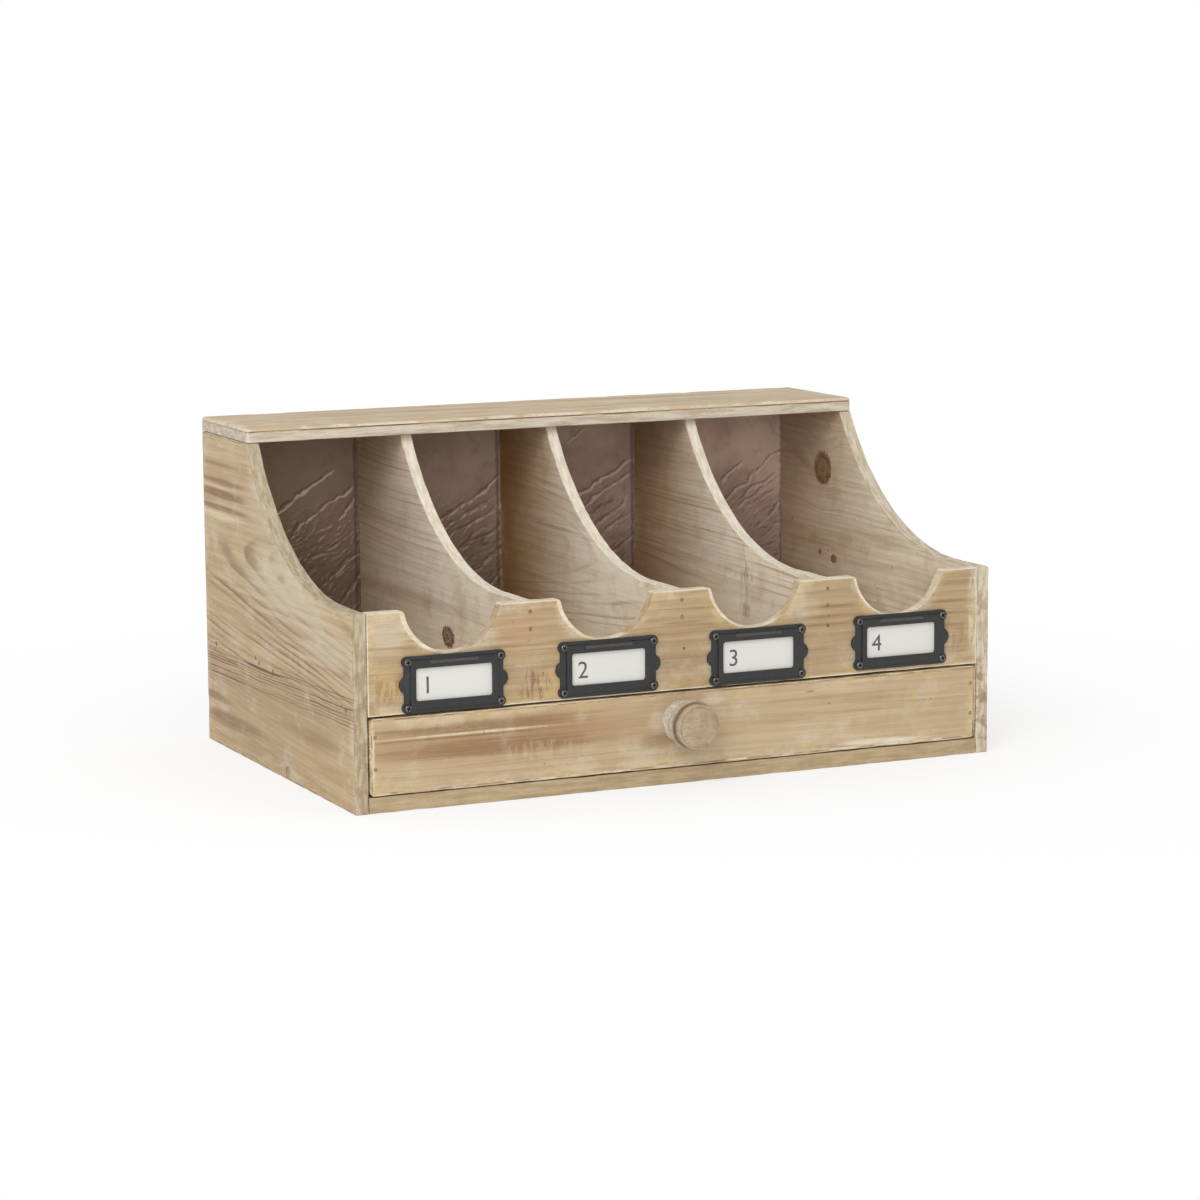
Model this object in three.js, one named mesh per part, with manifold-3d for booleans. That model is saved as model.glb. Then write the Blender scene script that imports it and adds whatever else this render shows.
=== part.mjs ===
// Wooden cutlery caddy with four bays, a drawer under them and four label frames.
// Millimetres, +Z up. The origin is in the middle of the underside, and the front faces -Y.

import * as THREE from 'three';
import { mergeVertices } from 'three/addons/utils/BufferGeometryUtils.js';
import Module from 'manifold-3d';

const wasm = await Module();
wasm.setup();

// Driving dimensions of the carcass
const length = 400;
const depth = 250;
const height = 197;
const frontHeight = 111.2;
const panelHeight = 57.2;
const shoulderDepth = 35;
const topDepth = 82;
const topThickness = 8.4;
const sideThickness = 7.8;
const baseThickness = 9;
const frontThickness = 7;
const backThickness = 3;
const floorThickness = 7;
const dividerThickness = 7;
const topOverhang = 1.2;
const dividerSetback = 6;

// The four bays, a little off centre as they were nailed
const bayCount = 4;
const endBayExtra = 5;
const bayShift = -1.2;
const mouthWidth = 57;
const mouthDepth = 24.5;
const tabCornerRadius = 2.4;

// Clearances
const jointGap = 0.2;
const drawerSideGap = 0.9;
const drawerTopGap = 1.3;
const drawerFrontLift = 0.7;
const runningGap = 0.3;
const holeGap = 0.2;
const cardPlay = 0.3;

// Drawer
const drawerFrontThickness = 7;
const drawerSideThickness = 6.5;
const drawerHeadroom = 6.9;
const drawerBackThickness = 6.5;
const drawerBottomThickness = 3;
const drawerBottomLift = 4;
const grooveDepth = 3;
const drawerRearGap = 0.6;

// Turned knob and the screw that holds it from inside
const knobRadius = 14.5;
const knobReach = 24;
const knobLift = 4.8;
const knobShift = -2;
const knobScrewRadius = 1.8;
const knobScrewHeadRadius = 3.6;
const knobScrewHeadHeight = 2;
const knobScrewBite = 12;

// Label frames, cards and their screws
const cardLength = 47.8;
const cardHeight = 21;
const cardThickness = 0.5;
const cardLap = 1.1;
const plateThickness = 1.4;
const raisedThickness = 0.8;
const raisedRim = 0.7;
const windowRim = 2.3;
const windowCornerRadius = 1.6;
const raisedCornerRadius = 3;
const pocketDepth = 0.9;
const screwDrop = 1.35;
const frameFoot = 0.1;
const screwHeadRadius = 2.2;
const screwHeadHeight = 1.4;
const screwRadius = 1;
const screwBite = 5;
const screwHeadClearance = 0.5;
const lobeRim = 1;
const plateWaist = 1.4;
const bumpRadius = 5;
const bumpProud = 1.5;
const gripLength = 26;
const gripHeight = 1.8;
const gripThickness = 0.6;
const crossWidth = 0.7;
const crossDepth = 0.8;

// Brads
const bradRadius = 0.55;
const bradHeadRadius = 0.95;
const bradHeadHeight = 0.6;
const bradLength = 16;
const bradSink = 0.1;

// Where things sit on the piece that carries them, as shares of its size
const frontBradShares = [0.9, 0.73];
const sideBradShares = [0.075, 0.54, 0.94];
const drawerBradShares = [0.4, 0.87];
const frameShiftShares = [0, 0.003, 0.03, 0.02];
const frameLiftShares = [0, 0.06, 0.03, 0.13];
const dividerSlantShares = [-0.0104, -0.0033, -0.0125];
const dividerLeanShares = [-0.0118, -0.0142, 0];
const crossSpanShare = 0.62;

// Facets and overruns
const profileSegments = 20;
const mouthSegments = 10;
const cornerSegments = 3;
const knobSegments = 24;
const screwSegments = 10;
const bradSegments = 8;
const bumpSegments = 12;
const flatTolerance = 0.001;
const overrun = 1;
const half = 0.5;
const quarterTurn = Math.PI / 2;
const halfTurn = Math.PI;

// Places that follow from the driving dimensions
const frontFace = -depth * half;
const rearFace = depth * half;
const backInner = rearFace - backThickness;
const innerX = length * half - sideThickness;
const bayPitch = (innerX - endBayExtra) / (bayCount * half);
const openingTop = frontHeight - panelHeight;
const sideTop = height - topThickness - jointGap;
const topFront = rearFace - topDepth;
const floorUnder = openingTop + jointGap;
const floorTop = floorUnder + floorThickness;
const panelBack = frontFace + frontThickness;
const dividerFront = panelBack + jointGap;
const dividerUnder = floorTop + jointGap;
const mouthBottom = frontHeight - mouthDepth;
const drawerX = innerX - drawerSideGap;
const drawerInnerX = drawerX - drawerSideThickness;
const drawerUnder = baseThickness + runningGap;
const drawerSideHeight = floorUnder - drawerHeadroom - drawerUnder;
const drawerFrontUnder = baseThickness + drawerFrontLift;
const drawerFrontTop = openingTop - drawerTopGap;
const knobHeight = (drawerFrontUnder + drawerFrontTop) * half + knobLift;
const drawerFrontBack = frontFace + drawerFrontThickness;
const drawerRear = backInner - drawerRearGap;
const drawerBottomUnder = drawerUnder + drawerBottomLift;
const drawerBottomTop = drawerBottomUnder + drawerBottomThickness;

// Places on a label frame, from its middle
const pocketX = cardLength * half + cardPlay;
const windowX = cardLength * half - cardLap;
const windowZ = cardHeight * half - cardLap - cardPlay;
const raisedX = pocketX + raisedRim;
const raisedZ = windowZ + windowRim;
const screwX = raisedX + screwHeadClearance + screwHeadRadius;
const screwZ = raisedZ + screwDrop;
const lobeRadius = screwHeadRadius + lobeRim;
const plateX = screwX + lobeRadius - plateWaist;
const plateZ = screwZ + lobeRadius;
const cardUnder = -cardHeight * half;
const pocketUnder = cardUnder - cardPlay;

// Directions
const towardBack = new THREE.Vector3(0, 1, 0);
const towardFront = new THREE.Vector3(0, -1, 0);
const towardRight = new THREE.Vector3(1, 0, 0);
const towardLeft = new THREE.Vector3(-1, 0, 0);

// A closed geometry becomes a solid that can be joined and cut
function solid(geometry) {
  const bare = geometry.clone();
  bare.deleteAttribute('normal');
  bare.deleteAttribute('uv');
  const welded = mergeVertices(bare);
  const corners = welded.index.array;
  const faces = [];
  for (let i = 0; i < corners.length; i += 3) {
    const [a, b, c] = corners.slice(i, i + 3);
    if (a !== b && b !== c && c !== a) faces.push(a, b, c);
  }
  return new wasm.Manifold(new wasm.Mesh({
    numProp: 3,
    vertProperties: new Float32Array(welded.attributes.position.array),
    triVerts: new Uint32Array(faces),
  }));
}

// A solid becomes a geometry again, with the cuts' spare vertices on flat faces taken out
function geometryOf(body) {
  const mesh = body.asOriginal().simplify(flatTolerance).getMesh();
  const geometry = new THREE.BufferGeometry();
  geometry.setAttribute('position', new THREE.BufferAttribute(new Float32Array(mesh.vertProperties), 3));
  geometry.setIndex(new THREE.BufferAttribute(new Uint32Array(mesh.triVerts), 1));
  geometry.computeVertexNormals();
  return geometry;
}

// A board between two opposite corners
function board([x0, y0, z0], [x1, y1, z1]) {
  const geometry = new THREE.BoxGeometry(x1 - x0, y1 - y0, z1 - z0);
  geometry.translate((x0 + x1) * half, (y0 + y1) * half, (z0 + z1) * half);
  return geometry;
}

// An outline drawn with depth and height, given a thickness along X from a start
function sideBoard(outline, x, thickness) {
  const geometry = new THREE.ExtrudeGeometry(outline, {
    depth: thickness, bevelEnabled: false, curveSegments: profileSegments,
  });
  geometry.applyMatrix4(new THREE.Matrix4().makeBasis(towardBack, new THREE.Vector3(0, 0, 1), towardRight));
  return geometry.translate(x, 0, 0);
}

// An outline drawn with length and height, given a thickness toward the front from a start
function facingPlate(outline, y, thickness, segments) {
  const geometry = new THREE.ExtrudeGeometry(outline, {
    depth: thickness, bevelEnabled: false, curveSegments: segments,
  });
  return geometry.rotateX(quarterTurn).translate(0, y, 0);
}

// A turned form whose own +Y is laid along a direction
function laidAlong(geometry, direction) {
  return geometry.applyQuaternion(new THREE.Quaternion().setFromUnitVectors(towardBack, direction));
}

// A round hole of one radius, from a point inward for a length, started a little outside
function hole(point, direction, radius, run, segments) {
  const geometry = new THREE.CylinderGeometry(radius, radius, run + overrun, segments);
  geometry.translate(0, (run - overrun) * half, 0);
  return solid(laidAlong(geometry, direction).translate(point.x, point.y, point.z));
}

// The concave front edge that the sides and dividers share, from under the top board to its shoulder
function addFrontCurve(outline, startY, shoulderY) {
  const run = startY - shoulderY;
  const rise = sideTop - frontHeight;
  const radius = (run * run + rise * rise) / (rise + rise);
  const startAngle = Math.atan2(rise - radius, run);
  outline.lineTo(startY, sideTop);
  outline.absarc(shoulderY, frontHeight + radius, radius, startAngle, -quarterTurn, true);
}

// Outline of a side, drawn with depth and height
function sideOutline() {
  const outline = new THREE.Shape();
  outline.moveTo(frontFace, 0);
  outline.lineTo(rearFace, 0);
  outline.lineTo(rearFace, sideTop);
  addFrontCurve(outline, topFront + topOverhang, frontFace + shoulderDepth);
  outline.lineTo(frontFace, frontHeight);
  return outline;
}

// Outline of a divider, which starts behind the front panel and stands on the compartment floor
function dividerOutline() {
  const rear = backInner - jointGap;
  const outline = new THREE.Shape();
  outline.moveTo(dividerFront, dividerUnder);
  outline.lineTo(rear, dividerUnder);
  outline.lineTo(rear, sideTop);
  const setback = topOverhang + dividerSetback;
  addFrontCurve(outline, topFront + setback, frontFace + shoulderDepth + dividerSetback);
  outline.lineTo(dividerFront, frontHeight);
  return outline;
}

// A divider as it was nailed in, a little out of square: its rear end and its top edge sit to one side
function dividerBlank(index) {
  const slant = dividerSlantShares[index];
  const lean = dividerLeanShares[index];
  const straight = sideBoard(dividerOutline(), dividerMiddle(index) - dividerThickness * half, dividerThickness);
  straight.applyMatrix4(new THREE.Matrix4().makeShear(0, 0, slant, 0, lean, 0));
  return straight.translate(-slant * dividerFront - lean * dividerUnder, 0, 0);
}

// Middle of a bay, and the line between two bays
const bayMiddle = (bay) => bayShift + (bay - (bayCount - 1) * half) * bayPitch;
const dividerMiddle = (index) => (bayMiddle(index) + bayMiddle(index + 1)) * half;

// Front panel outline with a round finger mouth for each bay and rounded tab corners
function frontPanelOutline() {
  const panelX = innerX - jointGap;
  const mouthHalf = mouthWidth * half;
  const radius = (mouthHalf * mouthHalf + mouthDepth * mouthDepth) / (mouthDepth + mouthDepth);
  const centreZ = mouthBottom + radius;
  const cornerZ = frontHeight - tabCornerRadius;
  const cornerReach = radius + tabCornerRadius;
  const cornerX = Math.sqrt(cornerReach * cornerReach - (centreZ - cornerZ) * (centreZ - cornerZ));
  const tilt = Math.atan2(centreZ - cornerZ, cornerX);
  const outline = new THREE.Shape();
  outline.moveTo(panelX, openingTop);
  outline.lineTo(panelX, frontHeight);
  for (let bay = bayCount - 1; bay >= 0; bay -= 1) {
    const x = bayMiddle(bay);
    outline.lineTo(x + cornerX, frontHeight);
    outline.absarc(x + cornerX, cornerZ, tabCornerRadius, quarterTurn, halfTurn - tilt, false);
    outline.absarc(x, centreZ, radius, -tilt, tilt - halfTurn, true);
    outline.absarc(x - cornerX, cornerZ, tabCornerRadius, tilt, quarterTurn, false);
  }
  outline.lineTo(-panelX, frontHeight);
  outline.lineTo(-panelX, openingTop);
  return outline;
}

// A rectangle with rounded corners about the middle
function roundedOutline(halfX, halfZ, radius) {
  const outline = new THREE.Shape();
  const corners = [[1, 1], [-1, 1], [-1, -1], [1, -1]];
  corners.forEach(([signX, signZ], turn) => {
    const start = turn * quarterTurn;
    const x = signX * (halfX - radius);
    const z = signZ * (halfZ - radius);
    outline.absarc(x, z, radius, start, start + quarterTurn, false);
  });
  return outline;
}

// A disc outline about a point
function discOutline(x, z, radius) {
  return new THREE.Shape().absarc(x, z, radius, 0, halfTurn + halfTurn, false);
}

// Places that screws take on a frame, from its middle
const screwCorners = [[-1, 1], [1, 1], [-1, -1], [1, -1]];

// Middle of a label frame on the front panel, its lower edge just above the panel's
function frameMiddle(bay) {
  const x = bayMiddle(bay) + plateX * frameShiftShares[bay];
  const z = openingTop + frameFoot + plateZ + plateZ * frameLiftShares[bay];
  return new THREE.Vector3(x, frontFace - jointGap, z);
}

// Stamped label frame about its middle, its back on the plane y = 0 and its face toward -Y
function labelFrame() {
  const plate = (outline, start, thickness, segments) => solid(facingPlate(outline, start, thickness, segments));
  const corner = plateZ - screwZ;
  let frame = plate(roundedOutline(plateX, plateZ, corner), 0, plateThickness, cornerSegments);
  for (const [signX, signZ] of screwCorners) {
    const lobe = discOutline(signX * screwX, signZ * screwZ, lobeRadius);
    frame = frame.add(plate(lobe, 0, plateThickness, bumpSegments));
  }
  for (const sign of [-1, 1]) {
    const x = sign * (screwX + lobeRadius + bumpProud - bumpRadius);
    frame = frame.add(plate(discOutline(x, 0, bumpRadius), 0, plateThickness, bumpSegments));
  }
  const raised = plateThickness + raisedThickness;
  frame = frame.add(plate(roundedOutline(raisedX, raisedZ, raisedCornerRadius), 0, raised, cornerSegments));
  const gripX = gripLength * half;
  const gripZ = (raisedZ + plateZ) * half;
  const gripHalf = gripHeight * half;
  const gripFace = plateThickness + gripThickness;
  frame = frame.add(solid(board([-gripX, -gripFace, gripZ - gripHalf], [gripX, 0, gripZ + gripHalf])));
  const windowOutline = roundedOutline(windowX, windowZ, windowCornerRadius);
  frame = frame.subtract(plate(windowOutline, overrun, raised + overrun + overrun, cornerSegments));
  const pocket = board([-pocketX, -pocketDepth, pocketUnder], [pocketX, overrun, plateZ + overrun]);
  frame = frame.subtract(solid(pocket));
  for (const [signX, signZ] of screwCorners) {
    const point = new THREE.Vector3(signX * screwX, 0, signZ * screwZ);
    frame = frame.subtract(hole(point, towardFront, screwRadius + holeGap, plateThickness + overrun, screwSegments));
  }
  return geometryOf(frame);
}

// Paper card about the frame's middle, resting in the pocket
function labelCard() {
  const cardX = cardLength * half;
  const cardBack = -(pocketDepth - cardThickness) * half;
  return board([-cardX, cardBack - cardThickness, cardUnder], [cardX, cardBack, cardUnder + cardHeight]);
}

// Screw with a domed cross head, its seat at y = 0 and its shank toward +Y
function crossHeadScrew(headRadius, headHeight, radius, bite) {
  const edge = headHeight * half;
  const crown = headRadius * (half + half * half);
  const profile = [
    [0, -headHeight], [crown * half, -headHeight], [crown, -(headHeight + edge) * half], [headRadius, -edge],
    [headRadius, 0], [radius, 0], [radius, bite - radius], [0, bite],
  ].map(([r, y]) => new THREE.Vector2(r, y));
  let screw = solid(new THREE.LatheGeometry(profile, screwSegments));
  const span = headRadius * crossSpanShare;
  const slot = crossWidth * half;
  const slotTop = -headHeight - overrun;
  const slotFloor = -headHeight + crossDepth;
  screw = screw.subtract(solid(board([-span, slotTop, -slot], [span, slotFloor, slot])));
  screw = screw.subtract(solid(board([-slot, slotTop, -span], [slot, slotFloor, span])));
  return geometryOf(screw);
}

// Brad whose head is at y = 0 and whose point is toward +Y
function bradGeometry() {
  const profile = [
    [0, 0], [bradHeadRadius, 0], [bradHeadRadius, bradHeadHeight], [bradRadius, bradHeadHeight],
    [bradRadius, bradLength - bradRadius], [0, bradLength],
  ].map(([r, y]) => new THREE.Vector2(r, y));
  return geometryOf(solid(new THREE.LatheGeometry(profile, bradSegments)));
}

// The stepped hole that a brad fills, from the face that it is driven into
function bradHole(point, direction) {
  const head = hole(point, direction, bradHeadRadius + holeGap, bradSink + bradHeadHeight + holeGap, bradSegments);
  const shank = hole(point, direction, bradRadius + holeGap, bradSink + bradLength + holeGap, bradSegments);
  return head.add(shank);
}

// Every brad, with the face point and the direction that it is driven in
function bradPlaces() {
  const places = [];
  for (let index = 0; index < bayCount - 1; index += 1) {
    frontBradShares.forEach((share, row) => {
      const point = new THREE.Vector3(dividerMiddle(index), frontFace, openingTop + panelHeight * share);
      places.push({ name: `front_brad_${index + 1}_${row + 1}`, point, direction: towardBack });
    });
  }
  for (const [word, sign, direction] of [['left', -1, towardRight], ['right', 1, towardLeft]]) {
    sideBradShares.forEach((share, row) => {
      const z = (floorUnder + floorTop) * half;
      const point = new THREE.Vector3(sign * length * half, frontFace + depth * share, z);
      places.push({ name: `${word}_side_brad_${row + 1}`, point, direction });
    });
  }
  for (const [word, sign] of [['left', -1], ['right', 1]]) {
    drawerBradShares.forEach((share, row) => {
      const x = sign * (drawerX + drawerInnerX) * half;
      const point = new THREE.Vector3(x, frontFace, drawerUnder + drawerSideHeight * share);
      places.push({ name: `drawer_${word}_brad_${row + 1}`, point, direction: towardBack });
    });
  }
  return places;
}

const brads = bradPlaces();
const bradsNamed = (start) => brads.filter((brad) => brad.name.startsWith(start));
const withoutBrads = (body, start) => bradsNamed(start)
  .reduce((rest, brad) => rest.subtract(bradHole(brad.point, brad.direction)), body);

// Every label screw, with the point on the frame's face where its head sits
function labelScrewPlaces() {
  const places = [];
  for (let bay = 0; bay < bayCount; bay += 1) {
    screwCorners.forEach(([signX, signZ], corner) => {
      const seat = new THREE.Vector3(signX * screwX, -plateThickness - jointGap, signZ * screwZ);
      places.push({ name: `label_screw_${bay + 1}_${corner + 1}`, point: seat.add(frameMiddle(bay)) });
    });
  }
  return places;
}

const labelScrews = labelScrewPlaces();
const labelScrewRun = plateThickness + jointGap + jointGap + screwBite;

// Front panel with its mouths, brad holes and blind screw holes
function frontPanel() {
  let panel = solid(facingPlate(frontPanelOutline(), panelBack, frontThickness, mouthSegments));
  panel = withoutBrads(panel, 'front_brad');
  for (const screw of labelScrews) {
    const run = labelScrewRun + holeGap;
    panel = panel.subtract(hole(screw.point, towardBack, screwRadius + holeGap, run, screwSegments));
  }
  return geometryOf(panel);
}

// Compartment floor, a board between the sides that takes the side brads in its ends
function compartmentFloor() {
  const floorX = innerX - jointGap;
  const low = [-floorX, panelBack + jointGap, floorUnder];
  const high = [floorX, backInner - jointGap, floorTop];
  return geometryOf(withoutBrads(withoutBrads(solid(board(low, high)), 'left_side'), 'right_side'));
}

// Drawer front with the groove for the bottom, the knob screw's hole and brad holes
function drawerFront() {
  let front = solid(board([-drawerX, frontFace, drawerFrontUnder], [drawerX, drawerFrontBack, drawerFrontTop]));
  const grooveX = drawerInnerX + grooveDepth;
  const grooveLow = [-grooveX, drawerFrontBack - grooveDepth, drawerBottomUnder - runningGap];
  front = front.subtract(solid(board(grooveLow, [grooveX, drawerFrontBack + overrun, drawerBottomTop + runningGap])));
  const knobPoint = new THREE.Vector3(knobShift, frontFace, knobHeight);
  const knobRun = drawerFrontThickness + overrun;
  front = front.subtract(hole(knobPoint, towardBack, knobScrewRadius + runningGap, knobRun, screwSegments));
  return geometryOf(withoutBrads(front, 'drawer_'));
}

// Drawer side with the groove for the bottom along its inner face
function drawerSide(sign, word) {
  const under = drawerUnder;
  const start = drawerFrontBack + jointGap;
  const [x0, x1] = [sign * drawerX, sign * drawerInnerX].sort((a, b) => a - b);
  let side = solid(board([x0, start, under], [x1, drawerRear, under + drawerSideHeight]));
  const groove = [sign * (drawerInnerX + grooveDepth), sign * (drawerInnerX - overrun)].sort((a, b) => a - b);
  const low = [groove[0], start - overrun, drawerBottomUnder - runningGap];
  side = side.subtract(solid(board(low, [groove[1], drawerRear + overrun, drawerBottomTop + runningGap])));
  return geometryOf(withoutBrads(side, `drawer_${word}`));
}

// Turned knob with a flange, a neck and a beaded head, and a blind bore for its screw
function knobGeometry() {
  const shares = [
    [0, 0], [0.76, 0], [0.83, 0.03], [0.83, 0.1], [0.72, 0.15], [0.58, 0.22], [0.57, 0.31],
    [0.76, 0.4], [0.93, 0.5], [1, 0.62], [0.99, 0.74], [0.93, 0.84], [0.88, 0.87],
    [0.84, 0.86], [0.8, 0.9], [0.68, 0.95], [0.38, 0.99], [0, 1],
  ];
  const profile = shares.map(([r, y]) => new THREE.Vector2(r * knobRadius, y * knobReach));
  const knob = solid(new THREE.LatheGeometry(profile, knobSegments));
  const bore = hole(new THREE.Vector3(), towardBack, knobScrewRadius + holeGap, knobScrewBite + holeGap, screwSegments);
  return geometryOf(knob.subtract(bore));
}

// Finishes of the pieces
const finishes = {
  wood: { color: 0xbfa47f, roughness: 0.78, metalness: 0 },
  insideWood: { color: 0xb09878, roughness: 0.8, metalness: 0 },
  drawerWood: { color: 0xc3a57c, roughness: 0.75, metalness: 0 },
  knobWood: { color: 0xbba88c, roughness: 0.7, metalness: 0 },
  backBoard: { color: 0x776059, roughness: 0.6, metalness: 0 },
  blackMetal: { color: 0x39373a, roughness: 0.5, metalness: 0.7 },
  screwMetal: { color: 0x4a494d, roughness: 0.4, metalness: 0.9 },
  card: { color: 0xe4e2db, roughness: 0.7, metalness: 0 },
  bradMetal: { color: 0x6d6256, roughness: 0.5, metalness: 0.8 },
};

const caddy = new THREE.Group();
const carcass = new THREE.Group();
const drawer = new THREE.Group();
caddy.add(carcass, drawer);

// A named piece with a finish of its own
function addPiece(group, name, geometry, finish) {
  const mesh = new THREE.Mesh(geometry, new THREE.MeshStandardMaterial(finish));
  mesh.name = name;
  group.add(mesh);
  return mesh;
}

// Carcass boards
function addCarcass() {
  const betweenSides = innerX - jointGap;
  for (const [word, x] of [['left', -length * half], ['right', innerX]]) {
    const side = withoutBrads(solid(sideBoard(sideOutline(), x, sideThickness)), `${word}_side`);
    addPiece(carcass, `${word}_side`, geometryOf(side), finishes.wood);
  }
  const top = board([-length * half, topFront, height - topThickness], [length * half, rearFace, height]);
  addPiece(carcass, 'top_board', top, finishes.wood);
  const base = board([-betweenSides, frontFace, 0], [betweenSides, backInner - jointGap, baseThickness]);
  addPiece(carcass, 'base_board', base, finishes.wood);
  addPiece(carcass, 'compartment_floor', compartmentFloor(), finishes.insideWood);
  addPiece(carcass, 'front_panel', frontPanel(), finishes.wood);
  addPiece(carcass, 'back_panel', board([-betweenSides, backInner, 0], [betweenSides, rearFace, sideTop]),
    finishes.backBoard);
  for (let index = 0; index < bayCount - 1; index += 1) {
    const divider = withoutBrads(solid(dividerBlank(index)), `front_brad_${index + 1}`);
    addPiece(carcass, `divider_${index + 1}`, geometryOf(divider), finishes.insideWood);
  }
}

// Label frames with their cards and screws
function addLabels() {
  const screw = crossHeadScrew(screwHeadRadius, screwHeadHeight, screwRadius, labelScrewRun);
  for (let bay = 0; bay < bayCount; bay += 1) {
    const middle = frameMiddle(bay);
    addPiece(carcass, `label_frame_${bay + 1}`, labelFrame(), finishes.blackMetal).position.copy(middle);
    addPiece(carcass, `label_card_${bay + 1}`, labelCard(), finishes.card).position.copy(middle);
  }
  for (const { name, point } of labelScrews) {
    addPiece(carcass, name, screw.clone(), finishes.screwMetal).position.copy(point);
  }
}

// Drawer box, its knob and the knob's screw
function addDrawer() {
  addPiece(drawer, 'drawer_front', drawerFront(), finishes.drawerWood);
  addPiece(drawer, 'drawer_left_side', drawerSide(-1, 'left'), finishes.insideWood);
  addPiece(drawer, 'drawer_right_side', drawerSide(1, 'right'), finishes.insideWood);
  const backX = drawerInnerX - jointGap;
  const backLow = [-backX, drawerRear - drawerBackThickness, drawerBottomTop + runningGap];
  const back = board(backLow, [backX, drawerRear, drawerUnder + drawerSideHeight]);
  addPiece(drawer, 'drawer_back', back, finishes.insideWood);
  const bottomX = drawerInnerX + grooveDepth - runningGap;
  const bottomLow = [-bottomX, drawerFrontBack - grooveDepth + runningGap, drawerBottomUnder];
  addPiece(drawer, 'drawer_bottom', board(bottomLow, [bottomX, drawerRear, drawerBottomTop]), finishes.insideWood);
  const knob = addPiece(drawer, 'drawer_knob', knobGeometry(), finishes.knobWood);
  knob.position.set(knobShift, frontFace - jointGap, knobHeight);
  knob.rotation.z = halfTurn;
  const run = drawerFrontThickness + jointGap + jointGap + knobScrewBite;
  const screwGeometry = crossHeadScrew(knobScrewHeadRadius, knobScrewHeadHeight, knobScrewRadius, run);
  const knobScrew = addPiece(drawer, 'knob_screw', screwGeometry, finishes.screwMetal);
  knobScrew.position.set(knobShift, drawerFrontBack + jointGap, knobHeight);
  knobScrew.rotation.z = halfTurn;
}

// Brads at their places, each turned to the way that it is driven
function addBrads() {
  const brad = bradGeometry();
  for (const { name, point, direction } of brads) {
    const group = name.startsWith('drawer_') ? drawer : carcass;
    const piece = addPiece(group, name, brad.clone(), finishes.bradMetal);
    piece.quaternion.setFromUnitVectors(towardBack, direction);
    piece.position.copy(point).addScaledVector(direction, bradSink);
  }
}

addCarcass();
addLabels();
addDrawer();
addBrads();

export default caddy;
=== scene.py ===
# %% [markdown]
# A wooden cutlery caddy, finished around its imported CAD frame. The boards, screws and joints are
# already in place, so this script only dresses them: it gives each board worn edges, turns the
# knob, stamps the label frames, and paints streaked, rubbed softwood over everything.
# Each piece's place is worked out from the frame's boxes, so nothing can drift from the real
# sizes. Only the marks on the wood and the creases of the back are given one by one.

# %% Load the frame
import math

import bmesh
import bpy
from mathutils import Matrix, Vector, noise


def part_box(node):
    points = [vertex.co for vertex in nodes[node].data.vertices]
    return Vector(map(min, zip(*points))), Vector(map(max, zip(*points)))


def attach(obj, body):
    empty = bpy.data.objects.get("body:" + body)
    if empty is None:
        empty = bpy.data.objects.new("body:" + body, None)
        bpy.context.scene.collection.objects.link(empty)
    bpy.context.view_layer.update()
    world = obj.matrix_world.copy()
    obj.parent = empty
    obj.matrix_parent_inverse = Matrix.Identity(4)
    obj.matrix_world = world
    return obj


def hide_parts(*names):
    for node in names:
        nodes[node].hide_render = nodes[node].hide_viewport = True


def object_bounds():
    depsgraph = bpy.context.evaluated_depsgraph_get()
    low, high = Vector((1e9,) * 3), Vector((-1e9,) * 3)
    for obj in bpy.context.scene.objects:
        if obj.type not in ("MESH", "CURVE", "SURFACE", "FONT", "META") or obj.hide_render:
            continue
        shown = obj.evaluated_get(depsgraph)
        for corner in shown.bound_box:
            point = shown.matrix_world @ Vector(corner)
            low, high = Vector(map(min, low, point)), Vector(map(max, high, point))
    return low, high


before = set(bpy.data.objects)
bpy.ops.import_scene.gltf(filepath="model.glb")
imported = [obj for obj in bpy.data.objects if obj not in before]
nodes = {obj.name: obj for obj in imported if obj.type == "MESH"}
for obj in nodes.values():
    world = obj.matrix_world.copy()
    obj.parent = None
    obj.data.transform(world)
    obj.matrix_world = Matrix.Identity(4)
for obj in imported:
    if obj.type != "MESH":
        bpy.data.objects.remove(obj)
cad_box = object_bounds()
mm = 0.001
print("caddy of", len(nodes), "pieces,", [round(v / mm) for v in (cad_box[1] - cad_box[0])], "mm")

# %% [markdown]
# The camera comes first. It stands low at the front left, turned about 25 degrees, and looks a
# little down. A long lens keeps the far end nearly as tall as the near end, so the lens length
# and the standing point matter more than the exact aim.

# %% Camera
CAMERA_AZIMUTH = math.radians(24.771)
CAMERA_ELEVATION = math.radians(8.703)
CAMERA_ROLL = math.radians(-0.402)
CAMERA_PLACE = Vector((-868.0, -1892.8, 407.0)) * mm
CAMERA_LENS = 105.7
CAMERA_REACH = 50


def add_camera():
    level = math.cos(CAMERA_ELEVATION)
    forward = Vector((
        math.sin(CAMERA_AZIMUTH) * level,
        math.cos(CAMERA_AZIMUTH) * level,
        -math.sin(CAMERA_ELEVATION),
    ))
    right = forward.cross(Vector((0, 0, 1))).normalized()
    up = right.cross(forward)
    turned_right = right * math.cos(CAMERA_ROLL) + up * math.sin(CAMERA_ROLL)
    turned_up = up * math.cos(CAMERA_ROLL) - right * math.sin(CAMERA_ROLL)
    turn = Matrix((turned_right, turned_up, -forward)).transposed()
    camera = bpy.data.objects.new("camera", bpy.data.cameras.new("camera"))
    camera.data.lens = CAMERA_LENS
    camera.data.clip_end = CAMERA_REACH
    camera.matrix_world = Matrix.Translation(CAMERA_PLACE) @ turn.to_4x4()
    bpy.context.scene.collection.objects.link(camera)
    bpy.context.scene.camera = camera
    return camera


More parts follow.
